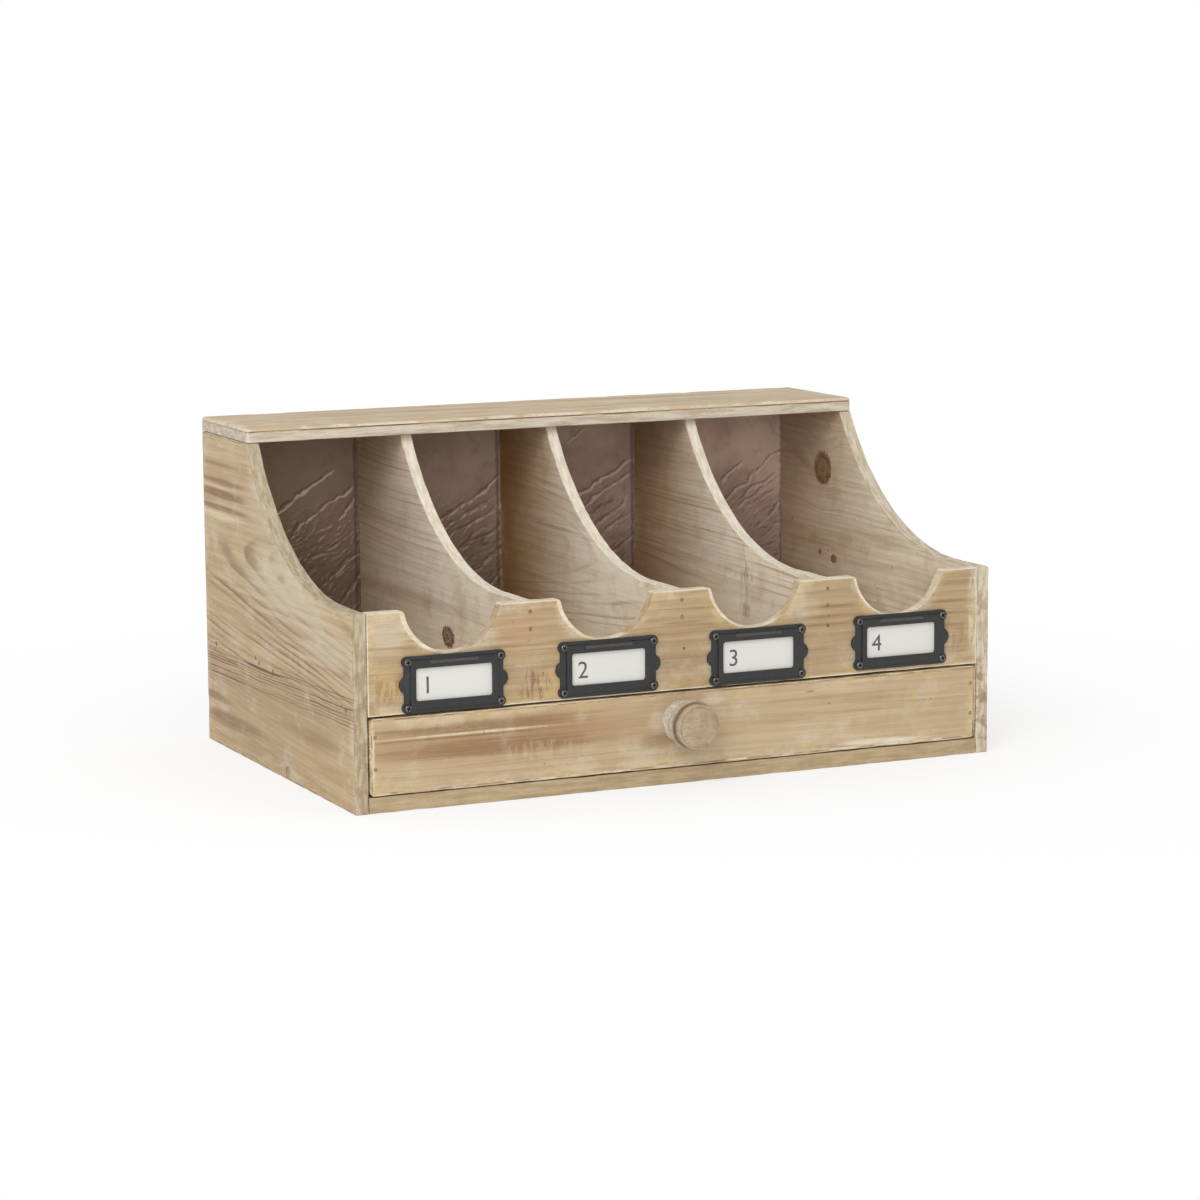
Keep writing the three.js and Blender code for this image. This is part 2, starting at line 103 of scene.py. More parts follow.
camera = add_camera()
print("camera at", [round(v, 3) for v in camera.location])

# %% [markdown]
# Every finish here is a graph of shader nodes. Drawn link by link, even a short sum takes many
# lines and is hard to read back. So a signal stands for one node's output, and sums of signals are
# written as sums of numbers are: each plus or times puts its Math node into the graph.


# %% Signals
class Signal:
    """One output in a material's graph, which can be used in sums like a number."""

    def __init__(self, finish, socket):
        self.finish = finish
        self.socket = socket

    def math(self, operation, *others):
        return self.finish.math(operation, self, *others)

    def __add__(self, other):
        return self.math("ADD", other)

    def __sub__(self, other):
        return self.math("SUBTRACT", other)

    def __rsub__(self, other):
        return self.finish.math("SUBTRACT", other, self)

    def __mul__(self, other):
        return self.math("MULTIPLY", other)

    def __truediv__(self, other):
        return self.math("DIVIDE", other)

    def __abs__(self):
        return self.math("ABSOLUTE")

    def root(self):
        return self.math("SQRT")

    def most(self, other):
        return self.math("MAXIMUM", other)

    def least(self, *others):
        smallest = self
        for other in others:
            smallest = smallest.math("MINIMUM", other)
        return smallest

    def swing(self, size):
        """A noise turned into an offset of up to half a size each way."""
        return (self - 0.5) * size

    def band(self, low, high, low_out=0.0, high_out=1.0):
        """A smooth step from low to high, written out between two other values."""
        inputs = {"Value": self, "From Min": low, "From Max": high, "To Min": low_out, "To Max": high_out}
        return self.finish.node("ShaderNodeMapRange", inputs, interpolation_type="SMOOTHSTEP")


print("a signal can be added, subtracted, multiplied, divided and banded")

# %% [markdown]
# The finish itself holds the graph. It starts from one tone and lays others over it, each by a
# share that some signal gives, as a painter works from the ground coat up.


# %% Finish
class Finish:
    """A node material under construction, with short calls for the nodes that it needs."""

    def __init__(self, name):
        self.material = bpy.data.materials.new(name)
        self.material.use_nodes = True
        self.tree = self.material.node_tree
        self.tree.nodes.clear()
        self.tone = None

    def put(self, socket, value):
        """Joins a signal to an input, or sets the input to a plain value."""
        if isinstance(value, Signal):
            self.tree.links.new(value.socket, socket)
        else:
            socket.default_value = value

    def node(self, kind, inputs, output=0, **settings):
        made = self.tree.nodes.new(kind)
        for key, value in settings.items():
            setattr(made, key, value)
        for key, value in inputs.items():
            self.put(made.inputs[key], value)
        return Signal(self, made.outputs[output])

    def math(self, operation, *values, clamp=False):
        return self.node("ShaderNodeMath", dict(enumerate(values)), operation=operation, use_clamp=clamp)

    def noise(self, vector, scale, detail=3.0, roughness=0.5):
        inputs = {"Vector": vector, "Scale": scale, "Detail": detail, "Roughness": roughness}
        return self.node("ShaderNodeTexNoise", inputs)

    def mix(self, share, first, second):
        """A colour between two others. A colour mix keeps its inputs and output past the plain ones."""
        return self.node("ShaderNodeMix", {0: share, 6: first, 7: second}, output=2, data_type="RGBA")

    def lay(self, share, tone):
        """Lays a tone over what is there."""
        self.tone = self.mix(share, self.tone, tone)

    def place(self, unit=mm, shift=(0, 0, 0), turn=(0, 0, 0)):
        """Object coordinates in a unit, turned and shifted."""
        source = self.node("ShaderNodeTexCoord", {}, output="Object")
        inputs = {"Vector": source, "Location": shift, "Rotation": turn, "Scale": (1 / unit,) * 3}
        return self.node("ShaderNodeMapping", inputs)

    def attribute(self, name):
        """A value that the mesh carries at its points."""
        return self.node("ShaderNodeAttribute", {}, output="Fac", attribute_name=name)

    def axes(self, vector):
        made = self.tree.nodes.new("ShaderNodeSeparateXYZ")
        self.put(made.inputs[0], vector)
        return [Signal(self, socket) for socket in made.outputs]

    def vector(self, x, y, z):
        return self.node("ShaderNodeCombineXYZ", {0: x, 1: y, 2: z})

    def end(self, shader):
        output = self.tree.nodes.new("ShaderNodeOutputMaterial")
        self.put(output.inputs[0], shader)
        return self.material

    def surface(self, roughness, height=None, bump=0.0, reach=mm, specular=0.5, metallic=0.0):
        """Ends the graph in a surface shader, with a height for its bump."""
        inputs = {
            "Base Color": self.tone, "Roughness": roughness,
            "Specular IOR Level": specular, "Metallic": metallic,
        }
        if height is not None:
            relief = {"Height": height, "Strength": bump, "Distance": reach}
            inputs["Normal"] = self.node("ShaderNodeBump", relief)
        return self.end(self.node("ShaderNodeBsdfPrincipled", inputs))


print("finish helper ready")

# %% [markdown]
# Colours are easiest to judge on a screen, where they run from 0 to 255, but a shader works in
# amounts of light. One function turns the first into the second, and the wood's tones are named
# with it once, so that every board is painted from the same few pots.


# %% Wood tones
def colour(red, green, blue):
    """A colour as it is seen on a screen, 0 to 255, turned into the shader's amounts of light."""
    light = []
    for share in (red / 255, green / 255, blue / 255):
        light.append(share / 12.92 if share <= 0.04045 else ((share + 0.055) / 1.055) ** 2.4)
    return (*light, 1.0)


PALE = colour(188, 166, 134)
TAN = colour(172, 147, 112)
LIGHT = colour(206, 188, 158)
GREYED = colour(190, 177, 154)
WARM = colour(170, 139, 99)
LATE_LINE = colour(112, 84, 58)
FINE_LINE = colour(86, 60, 38)
INSIDE_LINE = colour(150, 124, 94)
BROWN = colour(130, 99, 68)
YELLOW = colour(190, 161, 104)
WASH = colour(218, 210, 194)
CUT_DARK = colour(176, 160, 132)
# A brown smudge, which is also painted as shade in the top board's groove.
SMUDGE_AND_GROOVE_SHADE = colour(122, 90, 58)
KNOT = colour(84, 58, 42)
KNOT_CORE = colour(114, 88, 67)
# Painted shade: the warm brown of wood that stands deep in a bay.
REAR_SHADE = colour(138, 97, 44)
print("half grey on a screen is", round(colour(128, 128, 128)[0], 3), "as light")

# %% [markdown]
# Wood has a direction, so a board's finish measures its points along the grain, across it and
# through the board's thickness, in mm from the board's middle. The noises that its layers share
# are made here once. Most of them are stretched along the grain, as fibres and stains are.

# %% Board directions and noises
GRAIN_X, GRAIN_Y = 0, 1
ALONG_SCALE = 0.006
ACROSS_SCALE = 0.28
SEED_STEP = 437.0
CLOUD_STEP = 61.0


class Board(Finish):
    """A board's finish, with its own directions and the noises that its layers share."""

    def __init__(self, node, seed, grain=GRAIN_X):
        super().__init__(node + "_wood")
        low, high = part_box(node)
        self.box_node = node
        self.seed = seed
        self.grain = grain
        self.size = high - low
        others = [axis for axis in range(3) if axis != grain]
        depth_axis = min(others, key=lambda axis: self.size[axis])
        across_axis = next(axis for axis in others if axis != depth_axis)
        self.point = self.place(shift=-(low + high) / 2 / mm)
        self.parts = self.axes(self.point)
        self.along = self.parts[grain]
        self.depth = self.parts[depth_axis]
        self.across = self.parts[across_axis]
        self.seeded = self.along + seed * SEED_STEP
        self.streak = self.grained(ALONG_SCALE, ACROSS_SCALE, 4.0, 0.6)
        self.fibre = self.grained(ALONG_SCALE * 4, 1.3, 3.0, 0.65)
        self.hair = self.grained(ALONG_SCALE * 12, 2.6, 2.0, 0.6)
        self.patch = self.grained(ALONG_SCALE * 2, 0.03, 3.0, 0.55)
        self.ragged = self.grained(0.07, 0.13, 4.0, 0.65)
        shift = {0: self.point, 1: (seed * CLOUD_STEP, 0.0, 0.0)}
        self.cloud = self.noise(self.node("ShaderNodeVectorMath", shift, operation="ADD"), 0.035, 5.0, 0.62)
        self.speck = self.noise(self.point, 0.55, 4.0, 0.7)
        self.grit = self.noise(self.point, 1.7, 2.0, 0.6)
        self.knot_layers = []

    def grained(self, along_scale, across_scale, detail, roughness=0.5):
        """Noise that is stretched along the grain."""
        place = self.vector(self.seeded * along_scale, self.across * across_scale, self.depth * across_scale)
        return self.noise(place, 1.0, detail, roughness)

    def oval(self, middle_along, middle_across, half_along, half_across):
        """How far a point lies from an oval's middle, as a share of the oval's half sizes."""
        first = (self.along - middle_along) / half_along
        second = (self.across - middle_across) / half_across
        return (first * first + second * second).root()


print("a streak is about", round(ACROSS_SCALE / ALONG_SCALE), "times as long as it is wide")

# %% [markdown]
# The boards are flat-sawn softwood. Such a board shows the tree's rings where a plane cuts them,
# so the honest way to draw it is to keep the rings: measure each point's distance from a log
# axis that runs nearly along the board, and colour it by where it falls between two rings. The
# axis leans a little and the distance wobbles, and the arches of flat-sawn wood appear by
# themselves. A knot adds to that distance, so the rings bend round it as they do in a tree.

# %% Rings and knots
KNOT_RIM = 0.78
KNOT_REACH = 3.4


def add_knots(board, radius, knots):
    """Bends the rings round each knot and keeps its core and its dark broken rim as layers."""
    broken = board.noise(board.point, 0.34, 3.0, 0.65).band(0.42, 0.56, 0.1, 1.0)
    core_share = rim_share = 0.0
    for knot in knots:
        far = board.oval(*knot) + board.speck.swing(0.8)
        radius = radius + far.band(KNOT_REACH, 0.6, 0.0, knot[3] * 0.8)
        core_share = far.band(1.15, 0.8).most(core_share)
        dark = abs(far - KNOT_RIM).band(0.34, 0.1).most(far.band(0.34, 0.2, 0.0, 0.9))
        rim_share = (dark * broken).most(rim_share)
    board.knot_layers = [(core_share * 0.8, KNOT_CORE), (rim_share * 0.85, KNOT)]
    return radius


def grow_rings(board, core=(30.0, 12.0), lean=(0.02, 0.03), ring=3.4, sway=10.0, line_from=0.35, knots=()):
    """Counts rings from a log axis off the board's middle by core, in mm: in depth, then across."""
    drift = board.grained(0.0055, 0.012, 0.0).swing(sway)
    wobble = board.grained(0.011, 0.04, 1.0).swing(2.4)
    off_depth = board.along * lean[0] + board.depth + core[0]
    off_across = board.along * lean[1] + board.across + core[1] + drift
    radius = wobble + (off_depth * off_depth + off_across * off_across).root()
    if knots:
        radius = add_knots(board, radius, knots)
    spread = board.noise(board.vector(radius * 0.11, board.seed * 3.7, 0.0), 1.0, 1.0)
    count = spread * 2.2 + radius / ring
    part = count.math("FRACT")
    board.late = part.band(line_from, 0.92) * part.band(1.0, 0.93)
    place = board.vector(count * 0.37, board.seeded * ALONG_SCALE, board.seed * 9.1)
    board.age = board.noise(place, 1.0, 3.0, 0.65)
    place = board.vector(board.seeded * ALONG_SCALE, radius * 0.07, board.seed * 5.3)
    board.broad = board.noise(place, 1.0, 3.0, 0.6)


print("a knot bends the rings out to", KNOT_REACH, "times its own size")

# %% [markdown]
# Tones go on from the broadest to the finest: first the pale and tan streaks with greyed and warm
# clouds, then the brown of the broad rings, then the thin dark line that each ring ends in. A
# focus keeps the lines strong in one strip of the board and faint in the rest.


# %% Ground tones
def lay_tones(board, base=PALE, second=TAN, stain=0.4, line=0.3, line_tone=LATE_LINE, focus=None):
    """The streaked ground and the rings' lines. A focus is a strip's middle, half width and rest."""
    lines = board.late * board.age.band(0.38, 0.64, 0.1 * line, line)
    if focus:
        middle, half, rest = focus
        off = abs(board.across - middle) + board.patch.swing(24.0)
        lines = lines * off.band(half, half * 0.6, rest, 1.0)
    board.tone = base
    board.lay(board.streak.band(0.34, 0.66), second)
    board.lay(board.cloud.band(0.5, 0.7, 0.0, 0.4), GREYED)
    board.lay(board.cloud.band(0.48, 0.3, 0.0, 0.35), WARM)
    board.lay(board.broad.band(0.5, 0.7) * stain, BROWN)
    board.lay(lines, line_tone)


def lay_bundle(board, middle, half, slope, pitch):
    """A strip of fine dark lines a pitch apart, which climbs along the board by a slope."""
    off = board.along * -slope + board.across - middle
    inside = (1.0 - abs(off) / half + board.streak.swing(0.9)).band(0.0, 0.35)
    board.lay(inside * 0.12, BROWN)
    uneven = board.noise(board.vector(off, 0.0, 0.0), 0.3, 1.0)
    count = off / pitch + board.patch.swing(2.4) + uneven.swing(2.0)
    part = count.math("FRACT")
    age = board.noise(board.vector(count * 0.8, board.seeded * 0.01, 0.0), 1.0, 1.0)
    thin = part.band(0.4, 0.7) * part.band(1.0, 0.85) * age.band(0.36, 0.56, 0.15, 1.0)
    board.lay(thin * inside, FINE_LINE)


print("ground tones ready")

# %% [markdown]
# Old wood has its own history of stains and scrapes, which no noise will put in the right place.
# So a board may have a short list of marks. A mark is a soft oval, and strokes are
# the same but broken into short upright scratches. The oval's place and half sizes are in mm.


# %% Marks, strokes and fibres
def lay_marks(board, marks):
    for *oval, tone, share in marks:
        far = board.oval(*oval) + board.streak.swing(1.4) + board.patch.swing(0.8)
        board.lay(far.band(1.2, 0.4, 0.0, share), tone)


def lay_strokes(board, strokes):
    hatch = board.noise(board.vector(board.seeded * 0.26, board.across * 0.05, 0.0), 1.0, 3.0, 0.65)
    for *oval, tone, share in strokes:
        far = board.oval(*oval) + board.ragged.swing(1.2)
        board.lay(far.band(1.1, 0.6) * hatch.band(0.46, 0.58) * share, tone)


def lay_fibres(board, fibre_tone=BROWN):
    """Fine fibres, grit and dark dots, and the knots on top of them."""
    board.lay(board.fibre.band(0.5, 0.75, 0.0, 0.3), fibre_tone)
    board.lay(board.fibre.band(0.46, 0.25, 0.0, 0.3), LIGHT)
    board.lay(board.hair.band(0.55, 0.8, 0.0, 0.35), fibre_tone)
    board.lay(board.grit.band(0.35, 0.65, 0.0, 0.1), LIGHT)
    board.lay(board.noise(board.point, 0.36, 0.0).band(0.83, 0.88) * 0.5, KNOT)
    for share, tone in board.knot_layers:
        board.lay(share, tone)


def dim_rear(board, share):
    """Paints brown shade over the rear of an upright board, which stands deep in a bay."""
    rear = board.streak.swing(50.0) + board.along
    # Painted shade, darker toward the rear.
    board.lay(rear.band(-40.0, 120.0, 0.0, share), REAR_SHADE)


print("marks, strokes and fibres ready")

# %% [markdown]
# Paint wears in a pattern: it stays along the edges and is rubbed off the faces. To follow that, the
# finish must know how far each point lies inside the board's outline. For a straight board that
# is the nearest side of its box, and for a curved edge or a round mouth the distance to its arc.


# %% Distance from the edge
def from_circle(across, rise, radius):
    """How far a point lies outside a circle."""
    return (across * across + rise * rise).root() - radius


def edge_distance(board, curve=None, mouths=None):
    """How far a point on a board lies inside the outline of the board's broad face, in mm."""
    low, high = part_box(board.box_node)
    thin = min(range(3), key=lambda axis: board.size[axis])
    values = board.axes(board.place(unit=1))
    spans = []
    for axis in range(3):
        if axis != thin:
            spans += [values[axis] - low[axis], high[axis] - values[axis]]
    if curve is not None:
        centre_y, centre_z, radius, shoulder_z = curve
        across = values[1] - centre_y
        from_arc = from_circle(across, values[2] - centre_z, radius)
        from_shoulder = shoulder_z - values[2]
        behind = across.math("GREATER_THAN", 0.0)
        spans.append(from_shoulder + behind * (from_arc - from_shoulder))
    if mouths is not None:
        first_x, pitch, centre_z, radius = mouths
        shifted = values[0] - (first_x - pitch / 2)
        across = shifted.math("WRAP", pitch, 0.0) - pitch / 2
        spans.append(from_circle(across, values[2] - centre_z, radius))
    return spans[0].least(*spans[1:]) / mm


print("edge distance ready")

# %% [markdown]
# With that distance the worn edges are painted: a yellow glaze just inside the edge, the rubbed
# whitish paint with a ragged border, and the sawn faces themselves, which took more paint and
# stain. The top board also has a dark line of painted shade in its groove, and some boards one
# along their arris.

# %% Worn paint
BRUSH_ALONG_X = (0.05, 0.16, 0.5)
BRUSH_ALONG_Y = (0.5, 0.11, 0.08)
ARRIS_INSIDE = 1.1


def rubbed_paint(board, from_edge, wash):
    """The share of whitish paint: ragged near the edges, and a thin haze elsewhere."""
    reach = board.patch.band(0.36, 0.68, 1.5, 13.0)
    near = board.math("SUBTRACT", 1.0, from_edge / reach, clamp=True) * board.ragged.band(0.4, 0.58)
    haze = board.cloud.band(0.52, 0.68) * board.ragged.band(0.44, 0.6, 0.15, 0.8)
    return near.most(haze * 0.6) * wash * board.speck.band(0.3, 0.55, 0.35, 1.0)


def cut_tone(board, pale, dark, stain):
    """The tone of the sawn faces: brushed paint, with brown stain low down."""
    scales = BRUSH_ALONG_X if board.grain == GRAIN_X else BRUSH_ALONG_Y
    place = board.vector(*(part * scale for part, scale in zip(board.parts, scales)))
    brushed = board.noise(place, 1.0, 4.0, 0.68)
    tone = board.mix(brushed.band(0.38, 0.62), dark, pale)
    tone = board.mix(board.speck.band(0.5, 0.7, 0.0, 0.4), tone, dark)
    if stain:
        stained = board.ragged.band(0.48, 0.62) * board.across.band(16.0, -20.0)
        tone = board.mix(stained * stain, tone, BROWN)
    return tone


def groove_shares(board, from_edge, groove_at):
    """The share of the painted shade line in a groove, and how much of the cut face's paint stays around it.
    """
    from_groove = board.depth - groove_at
    line = abs(from_groove).band(0.6, 0.25) * from_edge.band(1.6, 0.9)
    from_end = board.size[board.grain] / 2 / mm - abs(board.along)
    line = line * board.ragged.band(0.36, 0.56, 0.2, 0.85) * from_end.band(0.6, 2.5, 0.3, 1.0)
    return line, from_groove.band(0.4, -0.4, 0.1, 1.0)


def wear_edges(board, wash=0.5, glaze=0.3, cut=0.9, cut_tones=(WASH, CUT_DARK), cut_stain=0.0,
               arris_line=0.0, groove_at=None, curve=None, mouths=None):
    """Paints and rubs the edges. The groove's place is in mm above the middle of the board's thickness."""
    from_edge = edge_distance(board, curve, mouths)
    inner_edge = from_edge.band(0.5, 1.2) * from_edge.band(9.0, 2.0)
    board.lay(inner_edge * board.cloud.band(0.42, 0.6) * glaze, YELLOW)
    board.rubbed = rubbed_paint(board, from_edge, wash)
    board.lay(board.rubbed, WASH)
    sawn = cut_tone(board, *cut_tones, cut_stain)
    cut_share = from_edge.band(1.0, 0.45) * cut
    if groove_at is None:
        board.lay(cut_share, sawn)
    else:
        line, around = groove_shares(board, from_edge, groove_at)
        board.lay(cut_share * around, sawn)
        # Painted shade: the dark line in the groove.
        board.lay(line, SMUDGE_AND_GROOVE_SHADE)
    arris = abs(from_edge - ARRIS_INSIDE).band(0.7, 0.2)
    board.lay(arris * board.ragged.band(0.4, 0.6, 0.0, arris_line), SMUDGE_AND_GROOVE_SHADE)


def wood_surface(board):
    """Ends a board's graph: matt where paint lies, with the fibres and paint in low relief."""
    rough = board.rubbed.band(0.0, 1.0, 0.62, 0.84)
    height = board.fibre * -0.6 + board.late * 0.35
    height = board.hair * -0.4 + height
    height = board.speck * board.rubbed * 0.5 + height
    return board.surface(rough, height, 0.4, 0.3 * mm, specular=0.3)


def plain_wood(node, seed, grain, base, core=(30.0, 12.0), **wear):
    """Softwood with nothing on it but its rings, its fibres and its worn edges."""
    board = Board(node, seed, grain)
    grow_rings(board, core=core)
    lay_tones(board, base=base)
    lay_fibres(board)
    wear_edges(board, **wear)
    return board


print("worn paint ready")

# %% [markdown]
# A board from the frame has knife-sharp edges, and nothing made of wood does. Each board is
# copied, its flat faces are joined up again, and its edges are bevelled. Holes for nails and
# screws keep their edge, because a bevel would open them up.

# %% Copy and bevel
EDGE_ROUND = 0.55 * mm
SHARP_ANGLE = math.radians(30)
FLAT_ANGLE = math.radians(0.5)
MERGE_GAP = 0.002 * mm
TOUCH = 0.01 * mm
HOLE_ROOM = 0.6 * mm
FASTENERS = [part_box(name) for name in nodes if "brad" in name or "screw" in name]


def by_fastener(point):
    """True where a point lies in or just beside a nail or screw."""
    return any(
        all(low[axis] - HOLE_ROOM < point[axis] < high[axis] + HOLE_ROOM for axis in range(3))
        for low, high in FASTENERS
    )


def copied(node):
    """A mesh copy of a CAD node with its triangles joined into whole faces."""
    mesh = bmesh.new()
    mesh.from_mesh(nodes[node].data)
    bmesh.ops.remove_doubles(mesh, verts=mesh.verts[:], dist=MERGE_GAP)
    bmesh.ops.dissolve_limit(
        mesh, angle_limit=FLAT_ANGLE, use_dissolve_boundaries=False,
        verts=mesh.verts[:], edges=mesh.edges[:],
    )
    return mesh


def bevel(mesh, geom, width, segments, affect="EDGES"):
    bmesh.ops.bevel(
        mesh, geom=geom, offset=width, segments=segments, profile=0.5,
        affect=affect, clamp_overlap=True, material=-1,
    )


def edge_middle(edge):
    return (edge.verts[0].co + edge.verts[1].co) / 2


def round_edges(mesh, width):
    sharp = [
        edge for edge in mesh.edges
        if edge.calc_face_angle(0) > SHARP_ANGLE and not by_fastener(edge_middle(edge))
    ]
    bevel(mesh, sharp, width, 2)


print("fasteners that keep their holes:", len(FASTENERS))

# %% [markdown]
# Then the copy is sliced across, so that it has vertices to move, and a low noise pushes the edges
# in here and there as knocks do. A drawer front's four corners are rounded off before that, as
# seen from the front.

# %% Worn boards
EDGE_DENT = 0.5 * mm
DENT_SIZE = 9 * mm
DENT_ANGLE = math.radians(12)
SLICE_STEP = 7 * mm
SLICE_GAP = 0.001 * mm
CORNER_SEGMENTS = 4


def slice_by(mesh, point, normal):
    """Cuts the whole mesh by a plane and keeps both sides."""
    whole = mesh.verts[:] + mesh.edges[:] + mesh.faces[:]
    bmesh.ops.bisect_plane(mesh, geom=whole, dist=SLICE_GAP, plane_co=point, plane_no=normal)


def slice_across(mesh, step):
    """Cuts the mesh by planes a step apart, so that it has vertices to move."""
    for axis in range(3):
        places = [vertex.co[axis] for vertex in mesh.verts]
        low, high = min(places), max(places)
        count = int((high - low) / step)
        normal = Vector([1.0 if index == axis else 0.0 for index in range(3)])
        for index in range(1, count):
            slice_by(mesh, normal * (low + (high - low) * index / count), normal)


def dent_edges(mesh, seed, depth):
    """Pushes vertices on the rounded edges inward by an uneven amount."""
    mesh.normal_update()
    moves = []
    for vertex in mesh.verts:
        normals = [face.normal for face in vertex.link_faces]
        turned = max((normals[0].angle(other, 0.0) for other in normals[1:]), default=0.0)
        if turned < DENT_ANGLE or by_fastener(vertex.co):
            continue
        spot = vertex.co / DENT_SIZE + Vector((seed * 7.3, seed * 3.1, seed))
        push = max(0.0, noise.noise(spot) - 0.05) * depth
        push += max(0.0, noise.noise(spot * 3.7) - 0.25) * depth
        moves.append((vertex, vertex.normal * -push))
    for vertex, move in moves:
        vertex.co += move


def round_corners(mesh, node, width):
    """Rounds an upright board's four outer corners, seen from the front."""
    low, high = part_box(node)
    corners = [
        edge for edge in mesh.edges
        if all(min(vertex.co.x - low.x, high.x - vertex.co.x) < TOUCH for vertex in edge.verts)
        and all(min(vertex.co.z - low.z, high.z - vertex.co.z) < TOUCH for vertex in edge.verts)
        and abs(edge.verts[0].co.y - edge.verts[1].co.y) > TOUCH
    ]
    bevel(mesh, corners, width, CORNER_SEGMENTS)


def finished(mesh, name, material, body, replaced=(), smooth=12.0):
    """Turns a bmesh into a piece at the origin that rides on its body."""
    if mesh.calc_volume(signed=True) < 0:
        bmesh.ops.reverse_faces(mesh, faces=mesh.faces[:])
    data = bpy.data.meshes.new(name)
    mesh.to_mesh(data)
    mesh.free()
    for polygon in data.polygons:
        polygon.use_smooth = True
    data.set_sharp_from_angle(angle=math.radians(smooth))
    data.materials.append(material)
    piece = bpy.data.objects.new(name, data)
    bpy.context.scene.collection.objects.link(piece)
    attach(piece, body)
    if replaced:
        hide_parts(*replaced)
    return piece


def worn_board(board, name, body, edge=EDGE_ROUND, dent=EDGE_DENT, corner=None):
    """The worn copy of a board's node, dressed in the board's finish."""
    node = board.box_node
    mesh = copied(node)
    if corner:
        round_corners(mesh, node, corner)
    round_edges(mesh, edge)
    slice_across(mesh, SLICE_STEP)
    dent_edges(mesh, board.seed, dent)
    return finished(mesh, name, wood_surface(board), body, [node])


print("a board is sliced every", round(SLICE_STEP / mm), "mm")

# %% [markdown]
# The curved front edge of the sides and dividers is an arc that starts level at the shoulder and
# climbs to the top board. The finish needs that arc too, because the paint is rubbed along it.
# It is found again from the piece's own box: the arc's lowest point, its highest point, and the
# rule that it leaves the shoulder level. The mouths in the front panel are arcs as well, and lie
# half way between the dividers.

# %% Curves and mouths
FRONT_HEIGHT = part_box("front_panel")[1].z
SHOULDER_DEPTH = 35 * mm
DIVIDER_SETBACK = 6 * mm
TOP_OVERHANG = 1.2 * mm
MOUTH_HALF = 28.5 * mm
MOUTH_DEPTH = 24.5 * mm


def arc_radius(run, rise):
    """The radius of an arc that starts level and climbs by a rise over a run."""
    return (run * run + rise * rise) / (2 * rise)


def front_curve(node, setback=0.0):
    """Centre, radius and shoulder height of the concave front edge of a side or divider."""
    shoulder_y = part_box("left_side")[0].y + SHOULDER_DEPTH + setback
    top_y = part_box("top_board")[0].y + TOP_OVERHANG + setback
    radius = arc_radius(top_y - shoulder_y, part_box(node)[1].z - FRONT_HEIGHT)
    return shoulder_y, FRONT_HEIGHT + radius, radius, FRONT_HEIGHT


def mouth_row():
    """First middle, pitch, centre height and radius of the round mouths in the front panel."""
    left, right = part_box("divider_1"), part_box("divider_3")
    pitch = (right[0].x - left[0].x) / 2
    first = (left[0].x + left[1].x) / 2 - pitch / 2
    radius = arc_radius(MOUTH_HALF, MOUTH_DEPTH)
    return first, pitch, FRONT_HEIGHT - MOUTH_DEPTH + radius, radius


print("front curve radius:", round(front_curve("left_side")[2] / mm, 1), "mm")

# %% [markdown]
# The left side is the board that shows most. Arches of rings fill its middle, a strip of fine
# dark lines runs under them, and brown streaks cross its upper rear corner.

# %% Left side
LEFT_KNOTS = (
    (-16.0, -90.0, 3.2, 4.0), (107.0, -33.0, 1.7, 1.4), (36.0, -31.0, 1.5, 1.4),
    (30.0, -33.0, 1.4, 1.3), (6.0, -35.0, 1.6, 1.8), (-112.0, -38.0, 1.5, 1.4),
)
LEFT_MARKS = (
    (105.0, 77.0, 60.0, 1.8, BROWN, 0.65), (100.0, 67.0, 58.0, 2.2, BROWN, 0.85),
    (98.0, 59.5, 60.0, 3.0, BROWN, 0.95), (90.0, 51.0, 62.0, 2.0, BROWN, 0.9),
    (104.0, 63.4, 44.0, 1.1, LIGHT, 0.7), (95.0, 46.0, 50.0, 2.2, LIGHT, 0.8),
    (112.0, -65.0, 34.0, 3.0, BROWN, 0.8), (70.0, -75.5, 66.0, 4.5, BROWN, 0.75),
    (100.0, -77.0, 34.0, 5.0, BROWN, 0.5), (-100.0, -77.0, 40.0, 5.0, WARM, 0.7),
    (-10.0, -55.0, 120.0, 22.0, colour(150, 124, 90), 0.42), (-20.0, 18.0, 70.0, 26.0, GREYED, 0.8),
    (20.0, 60.0, 30.0, 36.0, GREYED, 0.4), (-88.0, -8.0, 44.0, 16.0, GREYED, 0.6),
    (40.0, 26.5, 12.0, 3.6, BROWN, 0.5), (84.0, 27.0, 9.0, 3.0, BROWN, 0.4),
    (-12.0, 22.0, 9.0, 3.0, BROWN, 0.35), (-60.0, -62.0, 60.0, 5.0, BROWN, 0.5),
)
left = Board("left_side", 1, GRAIN_Y)
grow_rings(left, core=(52.0, -27.8), lean=(0.062, -0.045), ring=3.0, sway=6.0, knots=LEFT_KNOTS)
lay_tones(left, stain=0.25, line=0.95, focus=(-2.0, 46.0, 0.25))
lay_bundle(left, middle=-42.0, half=11.0, slope=-0.02, pitch=1.9)
lay_marks(left, LEFT_MARKS)
lay_fibres(left)
wear_edges(
    left, cut_tones=(colour(180, 168, 145), colour(150, 133, 103)), cut_stain=0.5, arris_line=0.6,
    curve=front_curve("left_side"),
)
left_board = worn_board(left, "left_side_board", "carcass")
print("left side:", len(left_board.data.polygons), "faces,", len(LEFT_MARKS), "marks")
